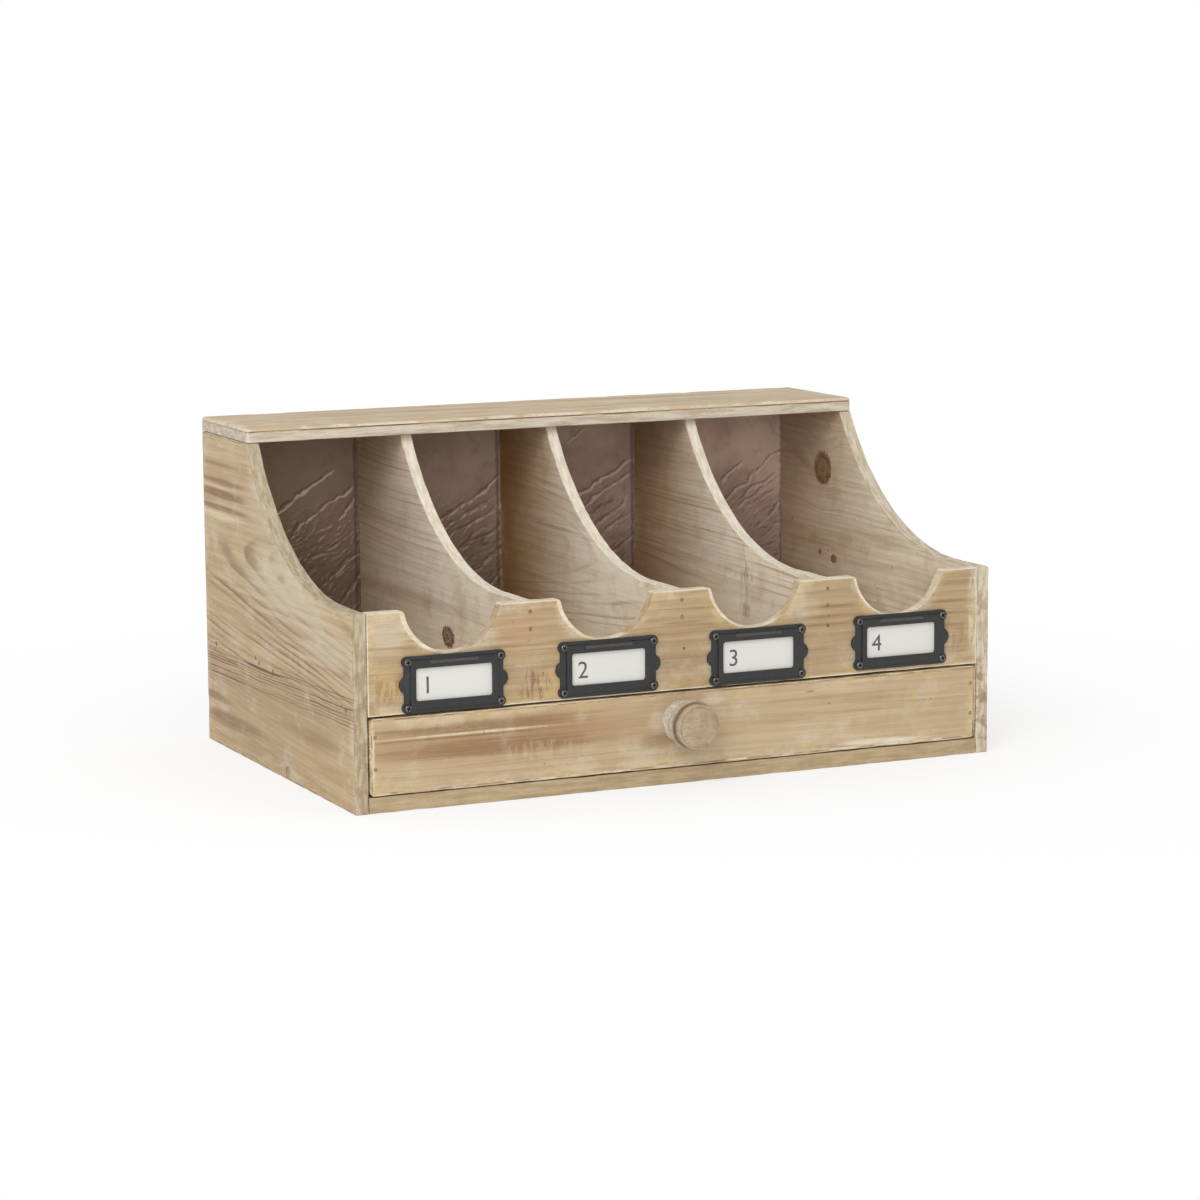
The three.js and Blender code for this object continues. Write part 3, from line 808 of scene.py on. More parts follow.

# %% [markdown]
# The right side is seen from within. Its inner face is pale bare wood with one big knot and two
# small ones, and painted shade darkens it toward the rear. Its outer face has the tan of the
# other outsides.

# %% Right side
INSIDE_PALE = colour(236, 225, 207)
right = Board("right_side", 2, GRAIN_Y)
grow_rings(
    right, core=(22.0, 30.0), lean=(0.02, -0.05), line_from=0.5,
    knots=((66.0, 56.4, 11.0, 10.5), (51.0, 0.0, 3.8, 2.8), (69.4, 2.4, 2.2, 1.4)),
)
lay_tones(right, base=colour(234, 221, 200), second=colour(223, 208, 185), line_tone=INSIDE_LINE)
lay_fibres(right, INSIDE_LINE)
right.lay(right.depth.band(1.0, 3.0, 0.0, 0.55), TAN)
# Painted shade toward the rear of the bay.
dim_rear(right, 0.54)
wear_edges(
    right, wash=0.3, glaze=0.0, cut_tones=(colour(199, 188, 168), colour(170, 154, 129)), cut_stain=0.75,
    curve=front_curve("right_side"),
)
right_board = worn_board(right, "right_side_board", "carcass")
print("right side:", len(right_board.data.polygons), "faces")

# %% [markdown]
# The three dividers are the same bare wood, but each was sawn from another board. So each has
# its own log axis, and its own knot, streak or scratches.

# %% Dividers
DIVIDER_SEED = 10
# Each figure's last value is the share of painted shade toward the rear of the bay.
DIVIDER_FIGURES = (
    dict(
        rings=dict(core=(10.0, 30.0), lean=(0.02, -0.02), ring=3.6, knots=((-18.0, -49.0, 9.0, 6.4),)),
        lines=dict(line=0.6, focus=(26.0, 40.0, 0.4)),
        marks=((60.0, -33.0, 110.0, 5.0, BROWN, 0.3),),
        strokes=(),
        rear_shade=0.52,
    ),
    dict(
        rings=dict(core=(44.0, 7.0), lean=(-0.075, 0.02), ring=3.6, sway=6.0),
        lines=dict(line=0.55),
        marks=((40.0, 3.0, 34.0, 1.2, KNOT, 0.4),),
        strokes=(),
        rear_shade=0.92,
    ),
    dict(
        rings=dict(core=(26.0, 40.0), lean=(0.01, -0.03), ring=2.8),
        lines=dict(line=0.7, focus=(-6.0, 34.0, 0.4)),
        marks=(),
        strokes=((-32.0, -28.0, 9.0, 24.0, BROWN, 0.6),),
        rear_shade=0.8,
    ),
)


def add_divider(number, figure):
    node = f"divider_{number}"
    board = Board(node, DIVIDER_SEED + number, GRAIN_Y)
    grow_rings(board, line_from=0.6, **figure["rings"])
    lay_tones(
        board, base=INSIDE_PALE, second=colour(228, 216, 196), stain=0.2, line_tone=INSIDE_LINE,
        **figure["lines"],
    )
    lay_marks(board, figure["marks"])
    lay_strokes(board, figure["strokes"])
    lay_fibres(board, INSIDE_LINE)
    # Painted shade toward the rear of the bay.
    dim_rear(board, figure["rear_shade"])
    wear_edges(
        board, wash=0.3, glaze=0.0, cut_tones=(colour(220, 212, 196), colour(200, 188, 168)),
        curve=front_curve(node, DIVIDER_SETBACK),
    )
    return worn_board(board, node + "_board", "carcass")


dividers = [add_divider(number, figure) for number, figure in enumerate(DIVIDER_FIGURES, 1)]
print("dividers:", len(dividers))

# %% [markdown]
# The front panel is darker and warmer than the sides. Its brown marks are short level streaks on
# both sides of the last mouth, and a rough patch between the first two label frames.

# %% Front panel
FRONT_STROKES = (
    (-92.0, -19.0, 11.0, 11.0, SMUDGE_AND_GROOVE_SHADE, 0.85), (-178.0, -17.0, 13.0, 10.0, BROWN, 0.55),
    (190.0, 3.0, 4.5, 28.0, WASH, 0.65), (176.0, -10.0, 12.0, 12.0, BROWN, 0.4),
    (60.0, -20.0, 30.0, 8.0, BROWN, 0.25),
)
FRONT_MARKS = (
    (-182.0, -14.0, 10.0, 14.0, YELLOW, 0.55), (-75.0, -19.0, 14.0, 12.0, YELLOW, 0.5),
    (-100.0, 12.0, 10.0, 18.0, WARM, 0.4), (-180.0, 18.0, 14.0, 14.0, GREYED, 0.7),
    (92.0, 12.5, 24.0, 1.0, BROWN, 0.8), (92.0, 7.0, 26.0, 1.0, BROWN, 0.7),
    (92.0, 2.0, 22.0, 1.1, BROWN, 0.7), (170.0, 10.0, 20.0, 1.0, BROWN, 0.7),
    (168.0, 3.0, 22.0, 1.0, BROWN, 0.7), (166.0, -4.0, 20.0, 1.1, BROWN, 0.6),
    (0.0, 10.0, 14.0, 1.2, BROWN, 0.5), (80.0, 12.0, 10.0, 8.0, GREYED, 0.3),
    (-184.0, -24.0, 13.0, 7.0, BROWN, 0.4),
)
front = Board("front_panel", 5)
grow_rings(
    front, core=(60.0, 34.0), lean=(0.01, 0.01),
    knots=((0.0, -5.1, 0.9, 0.9), (92.5, 1.4, 0.9, 1.0)),
)
lay_tones(front, base=colour(173, 151, 118), second=colour(158, 133, 98), stain=0.3, line=0.35)
lay_marks(front, FRONT_MARKS)
lay_strokes(front, FRONT_STROKES)
lay_fibres(front)
wear_edges(
    front, wash=0.4, glaze=0.45, cut_tones=(colour(218, 208, 188), colour(202, 186, 158)),
    mouths=mouth_row(),
)
front_board = worn_board(front, "front_panel_board", "carcass")
print("front panel:", len(front_board.data.polygons), "faces,", len(FRONT_MARKS), "marks")

# %% [markdown]
# The top board has well rounded front corners and a softly rounded upper rim. A thin groove runs
# along its front and ends, which looks like two layers that were glued together. The groove is
# three slices a little apart, with the middle one pushed in.

# %% Top board
CORNER_ROUND = 3.2 * mm
TOP_ROUND = 1.9 * mm
GROOVE_SHARE = 0.74
GROOVE_HALF = 0.4 * mm
GROOVE_DEPTH = 0.5 * mm


def top_board_finish():
    low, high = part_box("top_board")
    board = Board("top_board", 3)
    grow_rings(board, core=(70.0, -8.0), lean=(0.01, 0.01))
    lay_tones(board, base=colour(204, 185, 155), second=colour(190, 167, 135))
    lay_fibres(board)
    wear_edges(
        board, wash=0.8, cut_tones=(colour(197, 187, 170), colour(168, 154, 132)),
        groove_at=(high.z - low.z) * (GROOVE_SHARE - 0.5) / mm,
    )
    return board


def round_top(mesh, low, high):
    """Rounds the two front corners, and then the rim round the upper face, all but its rear."""
    corners = [
        edge for edge in mesh.edges
        if all(abs(vertex.co.y - low.y) < TOUCH for vertex in edge.verts)
        and abs(edge.verts[0].co.z - edge.verts[1].co.z) > (high.z - low.z) / 2
    ]
    bevel(mesh, corners, CORNER_ROUND, 5)
    rim = [
        edge for edge in mesh.edges
        if all(vertex.co.z > high.z - TOUCH for vertex in edge.verts)
        and any(vertex.co.y < high.y - TOUCH for vertex in edge.verts)
        and edge.calc_face_angle(0) > SHARP_ANGLE
    ]
    bevel(mesh, rim, TOP_ROUND, 4)


def cut_groove(mesh, groove_z):
    for lift in (-1, 0, 1):
        slice_by(mesh, (0, 0, groove_z + lift * GROOVE_HALF), (0, 0, 1))
    mesh.normal_update()
    for vertex in mesh.verts:
        if abs(vertex.co.z - groove_z) < MERGE_GAP and abs(vertex.normal.z) < 0.5:
            vertex.co -= vertex.normal * GROOVE_DEPTH


def add_top_board():
    low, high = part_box("top_board")
    board = top_board_finish()
    mesh = copied("top_board")
    round_top(mesh, low, high)
    round_edges(mesh, EDGE_ROUND)
    slice_across(mesh, SLICE_STEP)
    cut_groove(mesh, low.z + (high.z - low.z) * GROOVE_SHARE)
    dent_edges(mesh, board.seed, EDGE_DENT)
    material = wood_surface(board)
    return finished(mesh, "top_board_plank", material, "carcass", ["top_board"])


top_board = add_top_board()
print("top board:", len(top_board.data.polygons), "faces")

# %% [markdown]
# The base board and the floor of the bays show little, so plain softwood is enough for them.

# %% Base board and floor
base = plain_wood(
    "base_board", 4, GRAIN_X, TAN, core=(50.0, 30.0), wash=0.3, cut=0.7,
    cut_tones=(colour(175, 156, 122), colour(152, 131, 97)),
)
base_board = worn_board(base, "base_board_plank", "carcass")
bay_floor = plain_wood("compartment_floor", 6, GRAIN_X, colour(204, 184, 154))
floor_board = worn_board(bay_floor, "compartment_floor_board", "carcass")
print("base board and floor:", len(base_board.data.polygons) + len(floor_board.data.polygons), "faces")

# %% [markdown]
# The back is a thin board faced with dark paper that has wrinkled like old leather. A bump alone
# looks printed there, so its front face gets real creases: each point of a fine grid is pushed in
# by how near it is to a crease. The long creases are drawn from a start to an end and with a
# depth. The small ones lie where a stretched noise passes through zero, and the stretch is
# turned so that they climb to the right.

# %% Creases
CREASE_CLIMB = math.radians(33)
CREASE_ROOM = 9
LONG_CREASES = (
    ((-160, 134), (-118, 161), 1.0), ((-150, 120), (-127, 137), 0.9), ((-127, 137), (-104, 150), 0.9),
    ((-116, 128), (-105, 145), 0.7), ((-52, 126), (-26, 137), 1.0), ((-26, 137), (-8, 152), 1.0),
    ((-50, 118), (-12, 138), 0.7), ((38, 169), (54, 180), 0.6), ((44, 134), (84, 157), 1.0),
    ((48, 128), (84, 149), 0.9), ((50, 121), (70, 131), 0.7), ((146, 140), (164, 151), 0.9),
    ((150, 126), (172, 143), 1.0), ((172, 143), (191, 159), 1.0), ((156, 120), (190, 140), 0.7),
    ((161, 128), (189, 143), 0.8), ((165, 122), (186, 131), 0.8), ((172, 106), (191, 123), 0.9),
    ((177, 100), (191, 111), 0.8), ((182, 94), (191, 100), 0.8), ((57, 115), (82, 133), 0.8),
    ((60, 108), (84, 124), 0.7), ((70, 97), (86, 110), 0.8), ((-44, 114), (-6, 134), 0.7),
    ((-36, 106), (-6, 121), 0.8), ((-25, 92), (-5, 106), 0.8), ((-15, 82), (-4, 93), 0.8),
    ((-138, 105), (-116, 115), 0.6), ((-129, 89), (-101, 110), 0.8), ((-116, 78), (-100, 96), 0.8),
)
FADE_SHARE = 0.1
VALLEY_HALF = 0.62
RIDGE_OFF = 1.5
RIDGE_HALF = 0.85
CRUMPLE_HALF = 0.26
FOLD_HALF = 0.085
SMOOTH_ABOVE = 156
SMOOTH_FADE = 36


def between(value, low=0.0, high=1.0):
    return max(low, min(high, value))


def near_crease(x, z, start, end):
    beside = start[0] - CREASE_ROOM < x < end[0] + CREASE_ROOM
    return beside and start[1] - CREASE_ROOM < z < end[1] + CREASE_ROOM


def long_crease(x, z, start, end, depth):
    """The shape of one long crease at a point, in mm: a valley with a low ridge along its lower side."""
    start, end = Vector(start), Vector(end)
    run = end - start
    along = (Vector((x, z)) - start).dot(run) / run.length_squared
    if not -FADE_SHARE < along < 1 + FADE_SHARE:
        return 0.0
    side = Vector((-run.y, run.x)).normalized()
    off = (Vector((x, z)) - start).dot(side)
    off += 2.6 * noise.noise(Vector((x / 11, z / 11, start.x)))
    off += 1.0 * noise.noise(Vector((x / 3.5, z / 3.5, 3)))
    fade = min(1.0, (along + FADE_SHARE) / 0.25, (1 + FADE_SHARE - along) / 0.25) * depth
    valley = math.exp(-(off / VALLEY_HALF) ** 2)
    return fade * (valley - 0.6 * math.exp(-((off + RIDGE_OFF) / RIDGE_HALF) ** 2))


def crumple(along, across):
    """1 on the zero line of a stretched noise, falling off to 0 beside it."""
    value = abs(noise.noise(Vector((along / 9, across / 2.8, 21.0))))
    return 1 - min(1.0, value / CRUMPLE_HALF)


def crease(x, z):
    """How deep the paper lies at a point in mm: 1 in a valley, below 0 on a ridge, 0 where it is flat."""
    value = sum(
        long_crease(x, z, start, end, depth) for start, end, depth in LONG_CREASES
        if near_crease(x, z, start, end)
    )
    along = x * math.cos(CREASE_CLIMB) + z * math.sin(CREASE_CLIMB)
    across = z * math.cos(CREASE_CLIMB) - x * math.sin(CREASE_CLIMB)
    across += 5.0 * noise.noise(Vector((along / 22, across / 26, 2.0)))
    fold = abs(noise.noise(Vector((along / 30, across / 6.5, 14.0))))
    where = 0.5 + noise.noise(Vector((x / 26, z / 20, 31.0)))
    low_down = between((SMOOTH_ABOVE - z) / SMOOTH_FADE)
    value += 0.75 * max(0.0, 1 - fold / FOLD_HALF) * low_down * between(where)
    value += 0.48 * crumple(along, across) * low_down
    value -= 0.4 * crumple(along, across + 1.3) * low_down
    return between(value, -0.65, 1.0)


print("long creases:", len(LONG_CREASES))

# %% [markdown]
# The paper's finish reads the same crease value back from the mesh, and paints shade into the
# valleys and a highlight onto the ridges. It also darkens low down and in the seams beside the
# boards. The rear, and the rim next to it, are bare brown board.


# %% Wrinkled paper
def wrinkled_paper():
    finish = Finish("wrinkled_back")
    low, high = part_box("back_panel")
    point = finish.place()
    x, y, z = finish.axes(point)
    fold = finish.attribute("crease")
    cloud = finish.noise(point, 0.022, 3.0, 0.6)
    grime = finish.noise(finish.place(turn=(0, CREASE_CLIMB, 0)), 0.09, 5.0, 0.65)
    leather = finish.noise(point, 0.9, 4.0, 0.6)
    finish.tone = colour(139, 118, 100)
    finish.lay(x.band(-190.0, 190.0), colour(212, 187, 172))
    finish.lay(cloud.band(0.38, 0.65, 0.0, 0.5), colour(136, 108, 94))
    finish.lay(grime.band(0.5, 0.72, 0.0, 0.35), colour(112, 86, 74))
    # Painted shade in the valleys of the creases.
    finish.lay(fold.band(0.1, 0.75, 0.0, 0.55), colour(82, 57, 50))
    # Painted highlight on the ridges of the creases.
    finish.lay(fold.band(-0.04, -0.4, 0.0, 0.8), colour(222, 198, 182))
    finish.lay(z.band(160.0, 85.0, 0.0, 0.6), colour(84, 60, 47))
    edges = [high.x / mm - abs(x)]
    edges += [abs(x - (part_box(f"divider_{number}")[0].x / mm - 1.0)) for number in (1, 2, 3)]
    seam = finish.noise(point, 0.3, 3.0) * 2.6 - 1.0
    seam = edges[0].least(*edges[1:]) - seam
    finish.lay(seam.band(1.1, 0.3, 0.0, 0.5), colour(70, 46, 36))
    chips = finish.noise(finish.vector(x * 0.35, 0.0, z * 1.1), 1.0, 4.0, 0.7)
    bare = finish.mix(chips.band(0.4, 0.62), colour(146, 116, 82), colour(120, 91, 62))
    bare = finish.mix(cloud.band(0.4, 0.65, 0.0, 0.3), bare, colour(164, 136, 102))
    from_rear = high.y / mm - y
    finish.lay(from_rear.band(1.2, 0.8), bare)
    return finish.surface(0.5, leather, 0.35, 0.3 * mm, specular=0.35)


print("wrinkled paper ready")

# %% [markdown]
# The board itself starts as a grid that stands upright. Its inner points are pushed in by their
# crease, and its rim is drawn back to the board's rear and closed there.

# %% Back board
CREASE_CELL = 0.95 * mm
CREASE_DEPTH = 0.42 * mm
PAPER_SINK = 0.35 * mm


def upright(x, y, z, half_x=1.0, half_z=1.0):
    """The place and size of a flat shape that is stood up, so that it faces the front."""
    turned = Matrix.Translation((x, y, z)) @ Matrix.Rotation(math.radians(90), 4, "X")
    return turned @ Matrix.Diagonal((half_x, half_z, 1, 1))


def points_of(geometry):
    return [item for item in geometry if isinstance(item, bmesh.types.BMVert)]


def add_back_board():
    low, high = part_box("back_panel")
    middle, size = (low + high) / 2, high - low
    mesh = bmesh.new()
    layer = mesh.verts.layers.float.new("crease")
    bmesh.ops.create_grid(
        mesh, x_segments=round(size.x / CREASE_CELL), y_segments=round(size.z / CREASE_CELL), size=0.5,
        matrix=upright(middle.x, low.y, middle.z, size.x, size.z),
    )
    rim = [edge for edge in mesh.edges if edge.is_boundary]
    for vertex in mesh.verts:
        if not vertex.is_boundary:
            vertex[layer] = crease(vertex.co.x / mm, vertex.co.z / mm)
            vertex.co.y += PAPER_SINK + vertex[layer] * CREASE_DEPTH
    for vertex in points_of(bmesh.ops.extrude_edge_only(mesh, edges=rim)["geom"]):
        vertex.co.y = high.y
    bmesh.ops.edgeloop_fill(mesh, edges=[edge for edge in mesh.edges if edge.is_boundary])
    bmesh.ops.recalc_face_normals(mesh, faces=mesh.faces[:])
    material = wrinkled_paper()
    return finished(mesh, "back_panel_board", material, "carcass", ["back_panel"], 50.0)


back_board = add_back_board()
print("back board with", len(back_board.data.vertices), "points")

# %% [markdown]
# The drawer front is like the rest of the caddy, but more worn: its edges are rounder, its four
# corners are rubbed off, and a broad brown veil lies over its left half. The rest of the drawer
# is a plain box of thin bare boards.

# %% Drawer boards
DRAWER_EDGE = 1.0 * mm
DRAWER_DENT = 0.9 * mm
DRAWER_CORNER = 2.6 * mm
INNER_EDGE = 0.35 * mm
DRAWER_STROKES = (
    (-120.0, 6.0, 64.0, 14.0, BROWN, 0.22), (148.0, 0.0, 22.0, 14.0, YELLOW, 0.3),
    (-90.0, -4.0, 30.0, 6.0, LIGHT, 0.25),
)
DRAWER_MARKS = (
    (-112.0, 5.0, 100.0, 14.0, colour(150, 117, 77), 0.72), (-125.0, 12.5, 72.0, 5.0, BROWN, 0.85),
    (-118.0, 0.5, 68.0, 6.5, BROWN, 0.85), (-132.0, 9.2, 66.0, 0.9, LIGHT, 0.9),
    (-130.0, 7.6, 70.0, 0.8, BROWN, 0.9), (0.0, -20.6, 260.0, 0.9, WASH, 0.95),
    (-189.6, 0.0, 1.2, 26.0, LIGHT, 0.9), (-17.0, -5.0, 12.0, 5.0, BROWN, 0.6),
    (-17.0, 6.0, 6.0, 8.0, WASH, 0.3), (18.0, 15.0, 9.0, 3.6, WASH, 0.3),
    (81.0, 15.0, 3.0, 0.8, KNOT, 0.5), (128.0, -18.0, 30.0, 1.9, WASH, 0.8),
    (100.0, 11.0, 70.0, 1.2, BROWN, 0.3), (60.0, -10.0, 60.0, 8.0, LIGHT, 0.3),
)
INNER_SEED = 20
INNER_BOARDS = (
    ("drawer_left_side", GRAIN_Y), ("drawer_right_side", GRAIN_Y),
    ("drawer_back", GRAIN_X), ("drawer_bottom", GRAIN_X),
)
drawer = Board("drawer_front", 8)
grow_rings(drawer, core=(50.0, 90.0), lean=(0.004, 0.02), ring=5.0)
lay_tones(drawer, base=colour(182, 160, 129), second=colour(174, 150, 118), stain=0.2, line=0.2)
lay_marks(drawer, DRAWER_MARKS)
lay_strokes(drawer, DRAWER_STROKES)
lay_fibres(drawer, colour(148, 119, 87))
wear_edges(
    drawer, wash=0.35, glaze=0.45, cut_tones=(colour(210, 196, 164), colour(172, 146, 104)),
    arris_line=0.75,
)
drawer_front = worn_board(
    drawer, "drawer_front_board", "drawer",
    edge=DRAWER_EDGE, dent=DRAWER_DENT, corner=DRAWER_CORNER,
)
for seed, (node, grain) in enumerate(INNER_BOARDS, INNER_SEED):
    board = plain_wood(node, seed, grain, LIGHT, wash=0.1, cut=0.2)
    worn_board(board, node + "_board", "drawer", edge=INNER_EDGE)
print("drawer front:", len(drawer_front.data.polygons), "faces, inner boards:", len(INNER_BOARDS))

# %% [markdown]
# The metal is black enamel on the frames and blackened steel on the screws, rubbed a little paler
# in patches. The lip above each window has a paler enamel, a painted sheen where light from above
# catches it, and the cross and the seat of each screw are painted dark as shade. The nails are dull
# steel, and those in the drawer front were filled over. One function makes them all, because they
# differ only in tone, gloss and metal.

# %% Metal finishes
# Painted shade for the cross and the seat of each screw.
PAINTED_SHADE_TONE = colour(24, 23, 23)


def enamel(name, tone, worn_tone, rough, metallic=0.0, painted_shade=None):
    finish = Finish(name)
    grain = finish.noise(finish.place(), 0.9, 4.0, 0.6)
    finish.tone = tone
    finish.lay(grain.band(0.45, 0.75), worn_tone)
    # Painted shade, read from a value that the mesh carries.
    if painted_shade:
        finish.lay(finish.attribute(painted_shade), PAINTED_SHADE_TONE)
    return finish.surface(rough, grain, 0.15, 0.1 * mm, metallic=metallic)


black_enamel = enamel("black_enamel", colour(32, 31, 31), colour(46, 44, 43), 0.42)
# The lip's paler enamel is a painted sheen, where light from above catches its top.
sheen_enamel = enamel("sheen_enamel", colour(60, 57, 55), colour(76, 73, 70), 0.35)
dark_steel = enamel("dark_steel", colour(98, 96, 94), colour(144, 142, 139), 0.28, 0.8, "painted_shade")
dull_nail = enamel("dull_nail", colour(128, 104, 76), colour(150, 127, 97), 0.6)
filled_nail = enamel("filled_nail", colour(146, 114, 84), colour(168, 140, 108), 0.6)


def redress(node, material):
    """Gives a CAD node that stays as it is a finish of its own."""
    node.data.materials.clear()
    node.data.materials.append(material)


nails = [name for name in nodes if "brad" in name]
for name in nails:
    redress(nodes[name], filled_nail if name.startswith("drawer_") else dull_nail)
print("nails:", len(nails))

# %% [markdown]
# A label frame is stamped from sheet. The CAD plate is bevelled, and the inner corners beside its
# lobes become small hollows. Two thin pieces lie on it: a flat ring around the window, which is
# an outline with a hole bridged and raised, and a low lip above it where a finger meets the card.

# %% Label frames
BAYS = (1, 2, 3, 4)
FRAME_EDGE = 0.22 * mm
LOBE_WALL = 0.5 * mm
LOBE_FROM = 26.5 * mm
LOBE_HOLLOW = 1.3 * mm
WINDOW_HALF = (22.8 * mm, 9.1 * mm)
WINDOW_ROUND = 1.5 * mm
POCKET_SIDE = 3.2 * mm
POCKET_RISE = 4.6 * mm
POCKET_CORNER = 1.0 * mm
POCKET_THICK = 0.36 * mm
POCKET_ROUND = 0.22 * mm
LIP_HALF = (14.5 * mm, 0.85 * mm)
LIP_HEIGHT_SHARE = 0.68
LIP_CORNER_SHARE = 0.8
LIP_SEAT = 0.1 * mm
LIP_THICK = 0.45 * mm
LIP_SHRINK = (0.87, 0.5)


def add_plate(bay):
    """The stamped plate, with its inner corners hollowed and its edges rounded."""
    node = f"label_frame_{bay}"
    low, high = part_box(node)
    mesh = copied(node)
    corners = [
        edge for edge in mesh.edges
        if edge.calc_face_angle_signed(0) < -SHARP_ANGLE
        and abs(edge.verts[0].co.y - edge.verts[1].co.y) > LOBE_WALL
        and abs(edge.verts[0].co.x - (low.x + high.x) / 2) > LOBE_FROM
        and not by_fastener(edge_middle(edge))
    ]
    bevel(mesh, corners, LOBE_HOLLOW, 4)
    round_edges(mesh, FRAME_EDGE)
    return finished(mesh, f"stamped_frame_{bay}", black_enamel, "carcass", [node], 40.0)


def rounded_face(mesh, middle, half_x, half_z, radius, y):
    """One upright face with round corners that looks to the front."""
    before = set(mesh.faces)
    made = bmesh.ops.create_grid(
        mesh, x_segments=1, y_segments=1, size=1.0, matrix=upright(middle.x, y, middle.z, half_x, half_z),
    )
    bevel(mesh, made["verts"], radius, 6, "VERTICES")
    return next(face for face in mesh.faces if face not in before)


def raise_faces(mesh, faces, rise, middle=None, shrink=(1.0, 1.0)):
    """Extrudes faces toward the front, and may draw them in around a middle."""
    made = bmesh.ops.extrude_face_region(mesh, geom=faces)["geom"]
    points = points_of(made)
    bmesh.ops.translate(mesh, verts=points, vec=(0, -rise, 0))
    if middle is not None:
        around = Matrix.Translation(-middle)
        bmesh.ops.scale(mesh, verts=points, vec=(shrink[0], 1.0, shrink[1]), space=around)
    return [item for item in made if isinstance(item, bmesh.types.BMFace)]


def add_pocket(bay):
    """The flat ring that stands around the window."""
    low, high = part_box(f"label_frame_{bay}")
    middle = (low + high) / 2
    window_x, window_z = WINDOW_HALF
    mesh = bmesh.new()
    outer = rounded_face(mesh, middle, window_x + POCKET_SIDE, window_z + POCKET_RISE, POCKET_CORNER, low.y)
    window = rounded_face(mesh, middle, window_x, window_z, WINDOW_ROUND, low.y)
    bmesh.ops.delete(mesh, geom=[outer, window], context="FACES_ONLY")
    ring = bmesh.ops.bridge_loops(mesh, edges=mesh.edges[:])["faces"]
    raise_faces(mesh, ring, POCKET_THICK)
    bmesh.ops.recalc_face_normals(mesh, faces=mesh.faces[:])
    front = [
        edge for edge in mesh.edges
        if all(vertex.co.y < low.y - POCKET_THICK / 2 for vertex in edge.verts)
        and edge.calc_face_angle(0) > SHARP_ANGLE
    ]
    bevel(mesh, front, POCKET_ROUND, 2)
    return finished(mesh, f"frame_pocket_{bay}", black_enamel, "carcass", smooth=35.0)


def add_lip(bay):
    """The low lip along the top of the ring."""
    low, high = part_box(f"label_frame_{bay}")
    middle = (low + high) / 2
    middle.z += WINDOW_HALF[1] + POCKET_RISE * LIP_HEIGHT_SHARE
    half_x, half_z = LIP_HALF
    mesh = bmesh.new()
    face_y = low.y - POCKET_THICK + LIP_SEAT
    face = rounded_face(mesh, middle, half_x, half_z, half_z * LIP_CORNER_SHARE, face_y)
    seat = raise_faces(mesh, [face], LIP_SEAT)
    raise_faces(mesh, seat, LIP_THICK, middle, LIP_SHRINK)
    bmesh.ops.delete(mesh, geom=seat, context="FACES_ONLY")
    bmesh.ops.recalc_face_normals(mesh, faces=mesh.faces[:])
    return finished(mesh, f"frame_lip_{bay}", sheen_enamel, "carcass", smooth=35.0)


frames = [add(bay) for bay in BAYS for add in (add_plate, add_pocket, add_lip)]
print("pieces on the label frames:", len(frames))

# %% [markdown]
# Each screw has a low domed head with a cross cut into it, on a thin shank that ends in a point.
# Shank and head are one line spun around the screw's axis. The top face is the ground between the
# last ring and the outline of the cross, and the cross is sunk from there. Every screw stops at
# its own angle, as screws do.

# %% Screws
SCREW_STEPS = 32
SCREW_TURN = math.radians(37.0)
KNOB_SCREW_TURN = 0.4
LABEL_HEAD_HEIGHT = 1.4 * mm
KNOB_HEAD_HEIGHT = 2.0 * mm
SHANK_SHARE = 0.47
POINT_SHARE = 0.8
HEAD_LINE_SHARES = ((1.0, 0.0), (1.0, 0.3), (0.96, 0.58), (0.88, 0.8), (0.79, 0.94), (0.7, 1.0))
CROSS_WIDTH_SHARE = 0.18
CROSS_REACH_SHARE = 0.62
CROSS_DEPTH_SHARE = 0.6
CROSS_FLOOR_SHARE = 0.8


def spin_line(mesh, places, centre, steps):
    """Spins a line of points round an axis along Y and merges what meets."""
    line = [mesh.verts.new(place) for place in places]
    edges = [mesh.edges.new(pair) for pair in zip(line, line[1:])]
    bmesh.ops.spin(
        mesh, geom=line + edges, cent=centre, axis=(0, 1, 0), dvec=(0, 0, 0),
        angle=math.tau, steps=steps, use_merge=True, use_duplicate=False, use_normal_flip=False,
    )
    bmesh.ops.remove_doubles(mesh, verts=mesh.verts[:], dist=MERGE_GAP)


def cross_outline(radius, turn):
    """The twelve corners of a plus sign, as turned pairs."""
    wide, reach = radius * CROSS_WIDTH_SHARE, radius * CROSS_REACH_SHARE
    corners = []
    for quarter in range(4):
        turned = Matrix.Rotation(turn + quarter * math.pi / 2, 2)
        corners += [turned @ Vector(corner) for corner in ((reach, -wide), (reach, wide), (wide, wide))]
    return corners


def sink_cross(mesh, outline, front, depth, middle):
    """Closes the head's top around a cross, and sinks the cross into it."""
    top_rim = [edge for edge in mesh.edges if edge.is_boundary]
    corners = [mesh.verts.new(place) for place in outline]
    cross = [mesh.edges.new(pair) for pair in zip(corners, corners[1:] + corners[:1])]
    bmesh.ops.triangle_fill(mesh, use_beauty=True, edges=top_rim + cross)
    floor = points_of(bmesh.ops.extrude_edge_only(mesh, edges=cross)["geom"])
    around = Matrix.Translation((-middle.x, 0, -middle.z))
    bmesh.ops.scale(mesh, verts=floor, vec=(CROSS_FLOOR_SHARE, 1.0, CROSS_FLOOR_SHARE), space=around)
    bmesh.ops.translate(mesh, verts=floor, vec=(0, -front * depth, 0))
    bmesh.ops.edgeloop_fill(mesh, edges=[edge for edge in mesh.edges if edge.is_boundary])
    return floor


